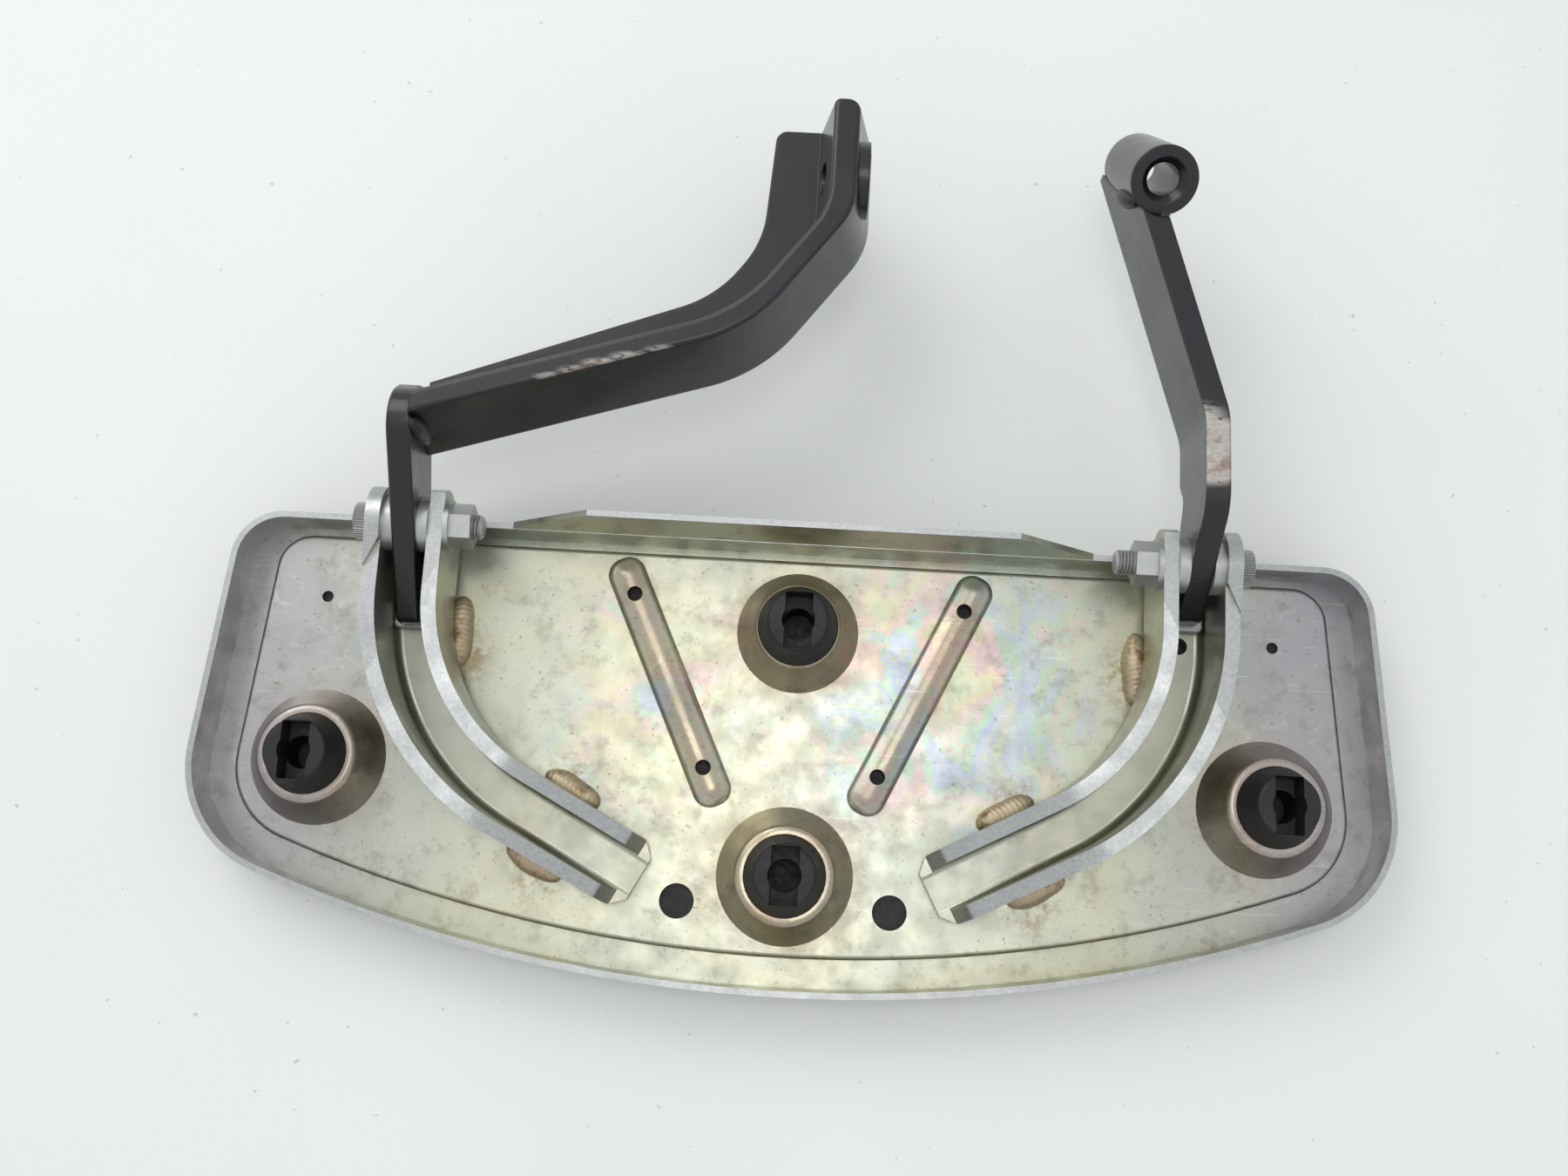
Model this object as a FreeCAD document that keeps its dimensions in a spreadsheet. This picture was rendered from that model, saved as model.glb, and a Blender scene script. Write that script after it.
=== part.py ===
import FreeCAD, Part
import math
import os
import Sketcher

# Motorcycle rider footboard, underside up: a stamped pan with a rubber pad below it,
# two welded channel brackets and two hinged frame arms.
# +X runs along the board, +Y points inboard to the motorcycle, +Z points up out of the
# underside. Every body is drawn with the pad's face at z = 0 and y = 0 at the row of the
# pan's side bosses' middle, and is then placed by frame_shift along Y.

doc = FreeCAD.newDocument("footboard")
sheet = doc.addObject("Spreadsheet::Sheet", "sizes")

NAMED = [
    ("frame_shift", 68.42, "from the drawing origin to the middle of the whole part"),
    ("sheet_thick", 2.0, "pan sheet"),
    ("pad_thick", 9.0, "rubber pad under the sheet"),
    ("side_reach", 194.7, "origin to the pan's side wall, square to the wall"),
    ("side_angle", 5.1, "lean of the side wall in plan, degrees"),
    ("inboard_edge", 71.5, "origin to the inboard edge"),
    ("outboard_edge", 77.0, "origin to the outboard edge"),
    ("outboard_radius", 500.0, "radius of the outboard edge"),
    ("top_round", 17.0, "plan radius of the inboard corners"),
    ("low_round", 38.0, "plan radius of the outboard corners"),
    ("rim_width", 11.5, "rim outside the flat"),
    ("rim_inboard", 5.0, "rim outside the flat on the inboard side"),
    ("rim_drop", 4.0, "groove below the flat"),
    ("skirt_rise", 12.0, "skirt above the flat"),
    ("rim_soft", 1.5, "rounding of the rim"),
    ("wall_rise", 25.0, "inboard stiffening wall above the flat"),
    ("wall_lean", 2.8, "outward lean of the stiffening wall"),
    ("wall_half", 97.0, "half length of the stiffening wall"),
    ("wall_taper", 26.0, "length over which the wall runs out"),
    ("boss_side_x", 157.0, "side boss centre"),
    ("boss_side_y", 9.0, "side boss centre, outboard of the origin"),
    ("boss_top_y", 41.5, "inboard boss centre"),
    ("boss_low_y", 39.4, "outboard boss centre, outboard of the origin"),
    ("boss_base", 45.0, "boss diameter at the flat"),
    ("boss_top_base", 41.0, "inboard boss diameter at the flat"),
    ("boss_rise", 14.0, "boss height above the flat"),
    ("boss_slope", 26.0, "boss wall from the vertical, degrees"),
    ("boss_hole", 26.6, "hole in the boss"),
    ("boss_soft", 2.4, "rounding of the boss lip"),
    ("rib_x", 42.3, "middle of a diagonal rib"),
    ("rib_y", 23.0, "middle of a diagonal rib"),
    ("rib_angle", 64.8, "rib direction, degrees"),
    ("rib_half", 38.5, "half the distance between rib end centres"),
    ("rib_width", 13.0, "rib width"),
    ("rib_rise", 2.6, "rib height"),
    ("rib_hole", 5.2, "hole in a rib"),
    ("rib_hole_half", 31.6, "rib hole from the rib's middle"),
    ("drain_x", 34.8, "large hole"),
    ("drain_y", 49.2, "large hole, outboard of the origin"),
    ("drain_hole", 11.4, "large hole diameter"),
    ("pin_x", 160.2, "small hole"),
    ("pin_y", 45.3, "small hole"),
    ("pin_hole", 3.9, "small hole diameter"),
    ("pad_play", 1.0, "pad edge to the rim"),
    ("tread_pitch", 24.0, "spacing of the tread grooves"),
    ("tread_width", 5.0, "tread groove width"),
    ("tread_depth", 2.5, "tread groove depth"),
    ("plug_rise", 12.0, "plug above the boss lip"),
    ("plug_tip", 20.0, "plug diameter at the tip"),
    ("plug_bore", 10.7, "hole in the plug"),
    ("plug_deep", 22.0, "depth of the plug's hole"),
    ("plug_slot", 9.0, "slot across the plug's tip"),
    ("plug_slot_long", 18.4, "length of the slot"),
    ("plug_slot_deep", 9.0, "depth of the slot"),
    ("chan_x", 127.5, "channel and pivot centre along the board"),
    ("chan_width", 24.0, "outside width of the channel"),
    ("chan_plate", 4.7, "channel plate"),
    ("chan_bend", 7.0, "outside bend radius of the channel"),
    ("chan_start_y", 79.0, "inboard end of the channel blank"),
    ("chan_curve_y", 43.6, "start of the channel's curve"),
    ("chan_radius", 73.0, "plan radius of the channel's middle line"),
    ("chan_end_x", 47.3, "end of the channel's middle line"),
    ("chan_end_y", 42.9, "end of the channel's middle line, outboard"),
    ("chan_end_angle", 28.0, "last straight of the channel, degrees"),
    ("web_end_y", 68.5, "inboard end of the channel web"),
    ("tab_chamfer", 4.5, "corner cut at the channel's end"),
    ("pivot_y", 66.0, "pivot axis"),
    ("pivot_rise", 26.5, "pivot axis above the flat"),
    ("ear_round", 11.5, "ear radius"),
    ("side_high", 33.5, "flange height above the flat beyond the ear"),
    ("side_mid", 28.5, "flange height at the middle of the curve"),
    ("side_low", 12.5, "flange height at its end"),
    ("bolt_hole", 8.2, "hole for the pivot bolt"),
    ("web_hole", 5.6, "hole in the channel web"),
    ("web_hole_y", 43.3, "hole in the channel web"),
    ("bolt_shank", 7.94, "pivot bolt shank"),
    ("bolt_head", 12.4, "pivot bolt head diameter"),
    ("bolt_head_high", 5.5, "pivot bolt head height"),
    ("bolt_socket", 6.2, "socket across flats"),
    ("bolt_past_nut", 3.3, "bolt end past the nut on the left"),
    ("bolt_past_right", 6.0, "bolt end past the nut on the right"),
    ("nut_flats", 12.7, "nut across flats"),
    ("nut_high", 8.6, "nut height with its flange"),
    ("nut_flange", 16.6, "nut flange diameter"),
    ("nut_flange_thick", 1.7, "nut flange thickness"),
    ("tang_thick", 7.6, "arm plate between the ears"),
    ("washer_play", 0.05, "each face of a thrust washer"),
    ("washer_round", 18.0, "thrust washer diameter"),
    ("tang_bore", 8.1, "bore in the arm plate"),
    ("stop_long", 14.0, "stop pad across the channel"),
    ("stop_deep", 9.0, "stop pad along the channel"),
    ("stop_thick", 4.4, "stop pad thickness"),
    ("stop_y", 39.0, "stop pad centre, left"),
    ("stop_right_y", 52.0, "stop pad centre, right"),
    ("bead_round", 3.0, "weld bead radius"),
    ("bead_long", 18.0, "weld bead length"),
    ("tail_long", 22.0, "underside of the arm plate's tail, from the pivot"),
    ("tail_tip", 4.0, "left tail tip past the stop pad's middle"),
    ("tail_high", 9.0, "left tail depth at its tip"),
    ("tail_tip_right", 2.5, "right tail tip past the stop pad's middle"),
    ("stop_gap", 0.3, "tail clear of the stop pad"),
    ("lobe_low", 14.0, "lowest corner of the plate under the pivot"),
    ("neck_out", 31.0, "left plate underside corner, from the pivot"),
    ("crown_out", 45.5, "left plate outer corner, from the pivot"),
    ("crown_side", 12.0, "left plate outer corner above the pivot"),
    ("crown_in", 32.0, "left plate top corner, from the pivot"),
    ("crown_high", 33.3, "left plate top corner above the pivot"),
    ("root_front", 27.4, "left arm wall front at its root, from the pivot"),
    ("root_back", 34.0, "left arm wall back at its root, from the pivot"),
    ("bow_x", 52.0, "left arm wall, first bend"),
    ("bow_out", 51.3, "left arm wall, first bend from the pivot"),
    ("knee_x", 20.0, "left arm wall, second bend"),
    ("knee_out", 61.5, "left arm wall, second bend from the pivot"),
    ("rise_x", 11.0, "left arm wall front at its end"),
    ("rise_out", 103.5, "left arm wall, last bend from the pivot"),
    ("arm_reach", 141.2, "left arm end, from the pivot"),
    ("back_x", 2.8, "left arm wall back at its end"),
    ("back_knee_x", 24.0, "left arm wall back, second bend"),
    ("back_knee_out", 67.2, "left arm wall back, second bend from the pivot"),
    ("ledge_x", 16.0, "left arm ledge side at its end"),
    ("ledge_side_x", 18.6, "left arm ledge side, last bend"),
    ("ledge_side_out", 100.0, "left arm ledge side, last bend from the pivot"),
    ("ledge_bow_x", 33.0, "left arm ledge side, first bend"),
    ("ledge_bow_out", 80.0, "left arm ledge side, first bend from the pivot"),
    ("ledge_root", 44.0, "left arm ledge side at its root, from the pivot"),
    ("strap_top", 58.0, "left arm top edge above the flat"),
    ("strap_high", 30.0, "left arm wall height"),
    ("strap_draft", 10.0, "draft of the left arm's wall, degrees"),
    ("ledge_thick", 8.0, "left arm ledge thickness"),
    ("mount_hole", 10.5, "frame bolt hole in the left arm"),
    ("mount_y", 186.0, "frame bolt hole"),
    ("mount_rise", 43.0, "frame bolt hole above the flat"),
    ("bar_top", 52.0, "right arm top edge above the flat"),
    ("bar_high", 31.75, "right arm bar width"),
    ("bar_bend_y", 109.0, "bend of the right arm"),
    ("bar_bend_angle", 16.5, "bend of the right arm, degrees"),
    ("bar_bend_radius", 26.0, "bend radius of the right arm"),
    ("tube_round", 22.2, "right arm tube diameter"),
    ("tube_long", 33.0, "right arm tube length"),
    ("tube_bore", 10.6, "right arm tube bore"),
    ("tube_chamfer", 2.2, "chamfer at the tube's bore"),
    ("tube_x", 108.4, "tube centre"),
    ("tube_y", 195.4, "tube centre"),
    ("tube_rise", 40.6, "tube centre above the flat"),
    ("tube_tilt", 34.6, "tube axis from the vertical, degrees"),
    ("tube_lean", 9.0, "tube axis lean along the board, degrees"),
    ("ring_face", 15.2, "flat of the frame bolt hole along the board"),
    ("ring_round", 25.0, "flat of the frame bolt hole, diameter"),
    ("edge_soft", 0.8, "small edge rounding"),
    ("plug_soft", 1.2, "rounding of the plug's tip"),
    ("plate_soft", 1.0, "edge rounding of the arm plate"),
    ("corner_soft", 2.0, "corner rounding of the stop pads"),
    ("seam_inner_x", 100.8, "tube weld, inner side"),
    ("seam_inner_y", 186.0, "tube weld, inner side"),
    ("seam_outer_x", 110.6, "tube weld, outer side"),
    ("seam_outer_y", 181.4, "tube weld, outer side"),
    ("thread_chamfer", 0.9, "chamfer at the bolt's end"),
    ("cut_through", 500.0, "cut clear of everything"),
]
for row, (alias, value, note) in enumerate(NAMED, start=1):
    sheet.set(f"A{row}", alias)
    sheet.set(f"B{row}", str(value))
    sheet.set(f"C{row}", note)
    sheet.setAlias(f"B{row}", alias)
doc.recompute()


def num(text):
    """Value of an expression over the sheet's aliases."""
    value = sheet.evalExpression(text)
    return float(getattr(value, "Value", value))


def named(text):
    """Turns bare aliases into references to the sheet."""
    words = []
    word = ""
    for mark in text + " ":
        if mark.isalnum() or mark == "_":
            word += mark
            continue
        words.append("sizes." + word if word in ALIASES else word)
        word = ""
        words.append(mark)
    return "".join(words).strip()


ALIASES = {alias for alias, value, note in NAMED}
FLAT = "(pad_thick + sheet_thick)"
PIVOT = "(pad_thick + sheet_thick + pivot_rise)"


def new_body(label):
    body = doc.addObject("PartDesign::Body", "Body_" + label)
    body.Label = label
    body.setExpression("Placement.Base.y", named("-frame_shift"))
    return body


def sketch_in(body, role, name, lift="0", turn="0"):
    """Sketch on an origin plane of the body, lifted along the plane's normal."""
    sketch = body.newObject("Sketcher::SketchObject", name)
    plane = next(f for f in body.Origin.OriginFeatures if f.Role == role)
    sketch.AttachmentSupport = [(plane, "")]
    sketch.MapMode = "FlatFace"
    sketch.setExpression("AttachmentOffset.Base.z", named(lift))
    if turn != "0":
        sketch.setExpression("AttachmentOffset.Rotation.Angle", named(turn))
    doc.recompute()
    return sketch


def fix_point(sketch, geo, pos, x_text, y_text):
    """Ties a point to the sketch origin by two named distances."""
    for kind, axis_text in (("DistanceX", x_text), ("DistanceY", y_text)):
        value = num(named(axis_text))
        index = sketch.addConstraint(Sketcher.Constraint(kind, -1, 1, geo, pos, value))
        sketch.setExpression(f"Constraints[{index}]", named(axis_text))


def arc_of(centre, radius, first, last):
    """Anticlockwise arc from the first point to the last."""
    start = math.atan2(first.y - centre.y, first.x - centre.x)
    stop = math.atan2(last.y - centre.y, last.x - centre.x)
    if stop < start:
        stop += 2 * math.pi
    ring = Part.Circle(centre, FreeCAD.Vector(0, 0, 1), radius)
    return Part.ArcOfCircle(ring, start, stop)


def outline(sketch, corners):
    """Closed outline through named corners; a corner with a third entry is rounded."""
    points = [(num(named(c[0])), num(named(c[1]))) for c in corners]
    radii = [num(named(c[2])) if len(c) > 2 else 0.0 for c in corners]
    count = len(points)
    starts = []
    ends = []
    for i, (x, y) in enumerate(points):
        back = points[i - 1]
        ahead = points[(i + 1) % count]
        to_back = FreeCAD.Vector(back[0] - x, back[1] - y, 0).normalize()
        to_ahead = FreeCAD.Vector(ahead[0] - x, ahead[1] - y, 0).normalize()
        half = to_back.getAngle(to_ahead) / 2
        cut = radii[i] / math.tan(half) if radii[i] else 0.0
        here = FreeCAD.Vector(x, y, 0)
        ends.append(here + to_back * cut)
        starts.append(here + to_ahead * cut)
    lines = []
    for i in range(count):
        j = (i + 1) % count
        lines.append(sketch.addGeometry(Part.LineSegment(starts[i], ends[j]), False))
    for i in range(count):
        line_in = lines[i - 1]
        line_out = lines[i]
        if not radii[i]:
            sketch.addConstraint(Sketcher.Constraint("Coincident", line_in, 2, line_out, 1))
            fix_point(sketch, line_out, 1, corners[i][0], corners[i][1])
            continue
        here = FreeCAD.Vector(points[i][0], points[i][1], 0)
        middle = (ends[i] + starts[i]) * 0.5
        inward = (middle - here).normalize()
        depth = math.hypot((ends[i] - here).Length, radii[i])
        centre = here + inward * depth
        back = FreeCAD.Vector(points[i - 1][0], points[i - 1][1], 0) - here
        after = points[(i + 1) % count]
        ahead = FreeCAD.Vector(after[0], after[1], 0) - here
        if back.cross(ahead).z < 0:
            arc_id = sketch.addGeometry(arc_of(centre, radii[i], ends[i], starts[i]), False)
            first, last = 1, 2
        else:
            arc_id = sketch.addGeometry(arc_of(centre, radii[i], starts[i], ends[i]), False)
            first, last = 2, 1
        mark = sketch.addGeometry(Part.Point(here), True)
        sketch.addConstraint(Sketcher.Constraint("Tangent", line_in, 2, arc_id, first))
        sketch.addConstraint(Sketcher.Constraint("Tangent", line_out, 1, arc_id, last))
        sketch.addConstraint(Sketcher.Constraint("PointOnObject", mark, 1, line_in))
        sketch.addConstraint(Sketcher.Constraint("PointOnObject", mark, 1, line_out))
        fix_point(sketch, mark, 1, corners[i][0], corners[i][1])
        index = sketch.addConstraint(Sketcher.Constraint("Radius", arc_id, radii[i]))
        sketch.setExpression(f"Constraints[{index}]", named(corners[i][2]))


def circle_in(sketch, x_text, y_text, wide_text):
    centre = FreeCAD.Vector(num(named(x_text)), num(named(y_text)), 0)
    wide = num(named(wide_text))
    normal = FreeCAD.Vector(0, 0, 1)
    geo = sketch.addGeometry(Part.Circle(centre, normal, wide / 2), False)
    fix_point(sketch, geo, 3, x_text, y_text)
    index = sketch.addConstraint(Sketcher.Constraint("Diameter", geo, wide))
    sketch.setExpression(f"Constraints[{index}]", named(wide_text))


def pad(body, sketch, name, length, taper=None, midplane=False, reverse=False):
    feature = body.newObject("PartDesign::Pad", name)
    feature.Profile = sketch
    feature.setExpression("Length", named(length))
    feature.Midplane = midplane
    feature.Reversed = reverse
    if taper:
        feature.setExpression("TaperAngle", named(taper))
    sketch.Visibility = False
    doc.recompute()
    return feature


def pocket(body, sketch, name, length, taper=None, midplane=False, reverse=False):
    feature = body.newObject("PartDesign::Pocket", name)
    feature.Profile = sketch
    feature.Type = 0
    feature.setExpression("Length", named(length))
    feature.Midplane = midplane
    feature.Reversed = reverse
    if taper:
        feature.setExpression("TaperAngle", named(taper))
    sketch.Visibility = False
    doc.recompute()
    return feature


def edges_where(feature, test):
    """Names of the edges whose ends and middle all pass the test."""
    found = []
    for i, edge in enumerate(feature.Shape.Edges, start=1):
        middle = edge.valueAt((edge.FirstParameter + edge.LastParameter) / 2)
        points = [v.Point for v in edge.Vertexes] + [middle]
        if all(test(p) for p in points):
            found.append(f"Edge{i}")
    return found


def soften(body, feature, name, radius, test):
    """Rounds the edges that pass the test, in the body's own coordinates."""
    names = edges_where(feature, test)
    fillet = body.newObject("PartDesign::Fillet", name)
    fillet.Base = (feature, names)
    fillet.setExpression("Radius", named(radius))
    doc.recompute()
    return fillet


def board_outline(sketch, inset, inboard):
    """The board's D outline, moved in by two named amounts."""
    step = num(named(inset))
    top = num(named(f"inboard_edge - ({inboard})"))
    lean = math.radians(num(named("side_angle")))
    reach = num(named("side_reach")) - step
    r_top = num(named(f"top_round - ({inboard})"))
    r_low = num(named("low_round")) - step
    r_out = num(named("outboard_radius")) - step
    hub = FreeCAD.Vector(0, num(named("outboard_radius - outboard_edge")), 0)
    square = FreeCAD.Vector(math.cos(lean), math.sin(lean), 0)
    along = FreeCAD.Vector(-math.sin(lean), math.cos(lean), 0)
    # inboard corner centre: r_top from the top edge and from the side wall
    y_c = top - r_top
    x_c = (reach - r_top - y_c * square.y) / square.x
    c_top = FreeCAD.Vector(x_c, y_c, 0)
    # outboard corner centre: r_low from the side wall, r_out - r_low from the hub
    base = square * (reach - r_low)
    gap = base - hub
    b_term = gap.dot(along)
    c_term = gap.dot(gap) - (r_out - r_low) ** 2
    walk = -b_term - math.sqrt(b_term ** 2 - c_term)
    c_low = base + along * walk
    away = (c_low - hub).normalize()
    p_top = FreeCAD.Vector(x_c, top, 0)
    p_side_high = c_top + square * r_top
    p_side_low = c_low + square * r_low
    p_arc = c_low + away * r_low

    def mirror(p):
        return FreeCAD.Vector(-p.x, p.y, 0)

    add = sketch.addGeometry
    edge = add(Part.LineSegment(p_top, mirror(p_top)), False)
    left_top = add(arc_of(mirror(c_top), r_top, mirror(p_top), mirror(p_side_high)), False)
    left = add(Part.LineSegment(mirror(p_side_high), mirror(p_side_low)), False)
    left_low = add(arc_of(mirror(c_low), r_low, mirror(p_side_low), mirror(p_arc)), False)
    low = add(arc_of(hub, r_out, mirror(p_arc), p_arc), False)
    right_low = add(arc_of(c_low, r_low, p_arc, p_side_low), False)
    right = add(Part.LineSegment(p_side_low, p_side_high), False)
    right_top = add(arc_of(c_top, r_top, p_side_high, p_top), False)
    ring = [edge, left_top, left, left_low, low, right_low, right, right_top]
    for here, after in zip(ring, ring[1:] + ring[:1]):
        sketch.addConstraint(Sketcher.Constraint("Tangent", here, 2, after, 1))
    sketch.addConstraint(Sketcher.Constraint("Equal", left_top, right_top))
    sketch.addConstraint(Sketcher.Constraint("Equal", left_low, right_low))
    sketch.addConstraint(Sketcher.Constraint("PointOnObject", low, 3, -2))
    sketch.addConstraint(Sketcher.Constraint("Symmetric", edge, 1, edge, 2, -2))
    held = [
        (Sketcher.Constraint("DistanceY", -1, 1, edge, 1, top),
         f"inboard_edge - ({inboard})"),
        (Sketcher.Constraint("Radius", right_top, r_top), f"top_round - ({inboard})"),
        (Sketcher.Constraint("Radius", right_low, r_low), f"low_round - ({inset})"),
        (Sketcher.Constraint("Radius", low, r_out), f"outboard_radius - ({inset})"),
        (Sketcher.Constraint("DistanceY", -1, 1, low, 3, hub.y),
         "outboard_radius - outboard_edge"),
        (Sketcher.Constraint("Distance", -1, 1, right, reach),
         f"side_reach - ({inset})"),
        (Sketcher.Constraint("Distance", -1, 1, left, reach),
         f"side_reach - ({inset})"),
        (Sketcher.Constraint("Angle", right, math.pi / 2 + lean), "90 + side_angle"),
    ]
    for constraint, text in held:
        index = sketch.addConstraint(constraint)
        sketch.setExpression(f"Constraints[{index}]", named(text))
    doc.recompute()


# ---------------------------------------------------------------- pan
pan = new_body("pan")
LIFT_RIM = "pad_thick - rim_drop"
s = sketch_in(pan, "XY_Plane", "PanOuter", LIFT_RIM)
board_outline(s, "0", "0")
pad(pan, s, "PanBlank", "sheet_thick + rim_drop + skirt_rise")
s = sketch_in(pan, "XY_Plane", "PanInner", FLAT + " + skirt_rise")
board_outline(s, "sheet_thick", "sheet_thick")
pocket(pan, s, "PanTray", "skirt_rise + rim_drop")
s = sketch_in(pan, "XY_Plane", "PanFlat", FLAT)
board_outline(s, "rim_width", "rim_inboard")
pad(pan, s, "PanPlateau", "rim_drop + sheet_thick / 4", reverse=True)
s = sketch_in(pan, "XY_Plane", "PanUnder", LIFT_RIM)
board_outline(s, "rim_width + sheet_thick", "rim_inboard + sheet_thick")
last = pocket(pan, s, "PanRecess", "rim_drop", reverse=True)

z_flat = num(named(FLAT))
z_rim = num(named(LIFT_RIM))
z_lip = num(named(FLAT + " + skirt_rise"))


def close(a, b):
    return abs(a - b) < 1e-4


last = soften(pan, last, "PanEdge", "rim_soft",
              lambda p: close(p.z, z_flat) or close(p.z, z_rim))

# stiffening wall along the inboard skirt, between the two brackets
s = sketch_in(pan, "YZ_Plane", "WallSection")
outline(s, [
    ("inboard_edge - sheet_thick", FLAT + " + skirt_rise - sheet_thick / 2"),
    ("inboard_edge", FLAT + " + skirt_rise - sheet_thick / 2"),
    ("inboard_edge + wall_lean", FLAT + " + wall_rise"),
    ("inboard_edge + wall_lean - sheet_thick", FLAT + " + wall_rise"),
])
pad(pan, s, "Wall", "2 * wall_half", midplane=True)
for side in ("-", ""):
    s = sketch_in(pan, "XZ_Plane", "WallEnd", "-inboard_edge - 2 * wall_lean")
    outline(s, [
        (f"{side}(wall_half + 1)", FLAT + " + skirt_rise"),
        (f"{side}(wall_half - wall_taper)", FLAT + " + wall_rise + 0.001"),
        (f"{side}(wall_half - wall_taper)", FLAT + " + wall_rise + 2"),
        (f"{side}(wall_half + 1)", FLAT + " + wall_rise + 2"),
    ])
    pocket(pan, s, "WallRunOut", "6 * wall_lean + 2 * sheet_thick", midplane=True)

# raised bosses with their holes
s = sketch_in(pan, "XY_Plane", "BossRings", FLAT)
circle_in(s, "-boss_side_x", "-boss_side_y", "boss_base")
circle_in(s, "boss_side_x", "-boss_side_y", "boss_base")
circle_in(s, "0", "boss_top_y", "boss_top_base")
circle_in(s, "0", "-boss_low_y", "boss_base")
last = pad(pan, s, "Bosses", "boss_rise", taper="-boss_slope")
z_boss = num(named(FLAT + " + boss_rise"))
last = soften(pan, last, "BossLips", "boss_soft", lambda p: close(p.z, z_boss))
s = sketch_in(pan, "XY_Plane", "BossHollows", "pad_thick")
circle_in(s, "-boss_side_x", "-boss_side_y", "boss_base - sheet_thick")
circle_in(s, "boss_side_x", "-boss_side_y", "boss_base - sheet_thick")
circle_in(s, "0", "boss_top_y", "boss_top_base - sheet_thick")
circle_in(s, "0", "-boss_low_y", "boss_base - sheet_thick")
pocket(pan, s, "BossUnders", "boss_rise", taper="-boss_slope", reverse=True)
s = sketch_in(pan, "XY_Plane", "BossHoles", "pad_thick")
circle_in(s, "-boss_side_x", "-boss_side_y", "boss_hole")
circle_in(s, "boss_side_x", "-boss_side_y", "boss_hole")
circle_in(s, "0", "boss_top_y", "boss_hole")
circle_in(s, "0", "-boss_low_y", "boss_hole")
pocket(pan, s, "BossMouths", "2 * boss_rise", reverse=True)

# diagonal ribs, pressed up out of the flat
for side in ("-", ""):
    cos_text = f"{side}cos(rib_angle)"
    sin_text = "sin(rib_angle)"

    def spot(run, across, side=side):
        x_text = f"{side}(rib_x + ({run}) * cos(rib_angle) - ({across}) * sin(rib_angle))"
        y_text = f"(rib_y + ({run}) * sin(rib_angle) + ({across}) * cos(rib_angle))"
        return x_text, y_text

    for name, width, lift, rise, under in (
            ("Rib", "rib_width / 2", FLAT, "rib_rise", False),
            ("RibUnder", "(rib_width / 2 - sheet_thick)", "pad_thick", "rib_rise", True)):
        reach = f"(rib_half + {width})"
        s = sketch_in(pan, "XY_Plane", name + "Outline", lift)
        soft = f"{width} * 0.9"
        outline(s, [
            spot(reach, width) + (soft,),
            spot("-" + reach, width) + (soft,),
            spot("-" + reach, "-" + width) + (soft,),
            spot(reach, "-" + width) + (soft,),
        ])
        if under:
            last = pocket(pan, s, name, rise, reverse=True)
        else:
            last = pad(pan, s, name, rise)
            z_rib = num(named(FLAT + " + rib_rise"))
            last = soften(pan, last, "RibCrown", "rib_rise * 0.8",
                          lambda p, right=not side: close(p.z, z_rib) and (p.x > 0) == right)
    s = sketch_in(pan, "XY_Plane", "RibHoles", "pad_thick")
    circle_in(s, *spot("rib_hole_half", "0"), "rib_hole")
    circle_in(s, *spot("-rib_hole_half", "0"), "rib_hole")
    pocket(pan, s, "RibHole", "3 * rib_rise", reverse=True)

s = sketch_in(pan, "XY_Plane", "FlatHoles", "pad_thick")
circle_in(s, "-drain_x", "-drain_y", "drain_hole")
circle_in(s, "drain_x", "-drain_y", "drain_hole")
circle_in(s, "-pin_x", "pin_y", "pin_hole")
circle_in(s, "pin_x", "pin_y", "pin_hole")
circle_in(s, "chan_x", "web_hole_y", "web_hole")
pocket(pan, s, "FlatHole", "2 * sheet_thick", reverse=True)

# ---------------------------------------------------------------- rubber pad
rubber = new_body("rubber_pad")
s = sketch_in(rubber, "XY_Plane", "PadOutline")
board_outline(s, "rim_width + sheet_thick + pad_play", "rim_inboard + sheet_thick + pad_play")
pad(rubber, s, "PadBlank", "pad_thick")
PLUGS = [
    ("-boss_side_x", "-boss_side_y"),
    ("boss_side_x", "-boss_side_y"),
    ("0", "boss_top_y"),
    ("0", "-boss_low_y"),
]
s = sketch_in(rubber, "XY_Plane", "PlugNecks", "pad_thick")
for x_text, y_text in PLUGS:
    circle_in(s, x_text, y_text, "boss_hole - 0.3")
pad(rubber, s, "PlugNeck", "sheet_thick + boss_rise")
s = sketch_in(rubber, "XY_Plane", "PlugTips", FLAT + " + boss_rise")
for x_text, y_text in PLUGS:
    circle_in(s, x_text, y_text, "boss_hole - 0.3")
last = pad(rubber, s, "PlugTip", "plug_rise",
           taper="-atan((boss_hole - plug_tip) / 2 / plug_rise)")
z_tip = num(named(FLAT + " + boss_rise + plug_rise"))
last = soften(rubber, last, "PlugRound", "plug_soft", lambda p: close(p.z, z_tip))
s = sketch_in(rubber, "XY_Plane", "PlugBores", FLAT + " + boss_rise + plug_rise")
for x_text, y_text in PLUGS:
    circle_in(s, x_text, y_text, "plug_bore")
pocket(rubber, s, "PlugBore", "plug_deep")
s = sketch_in(rubber, "XY_Plane", "PlugSlots", FLAT + " + boss_rise + plug_rise")
for x_text, y_text in PLUGS:
    left = f"{x_text} - plug_slot / 2"
    right = f"{x_text} + plug_slot / 2"
    low = f"{y_text} - plug_slot_long / 2"
    high = f"{y_text} + plug_slot_long / 2"
    outline(s, [(left, low), (right, low), (right, high), (left, high)])
pocket(rubber, s, "PlugSlot", "plug_slot_deep")
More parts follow.
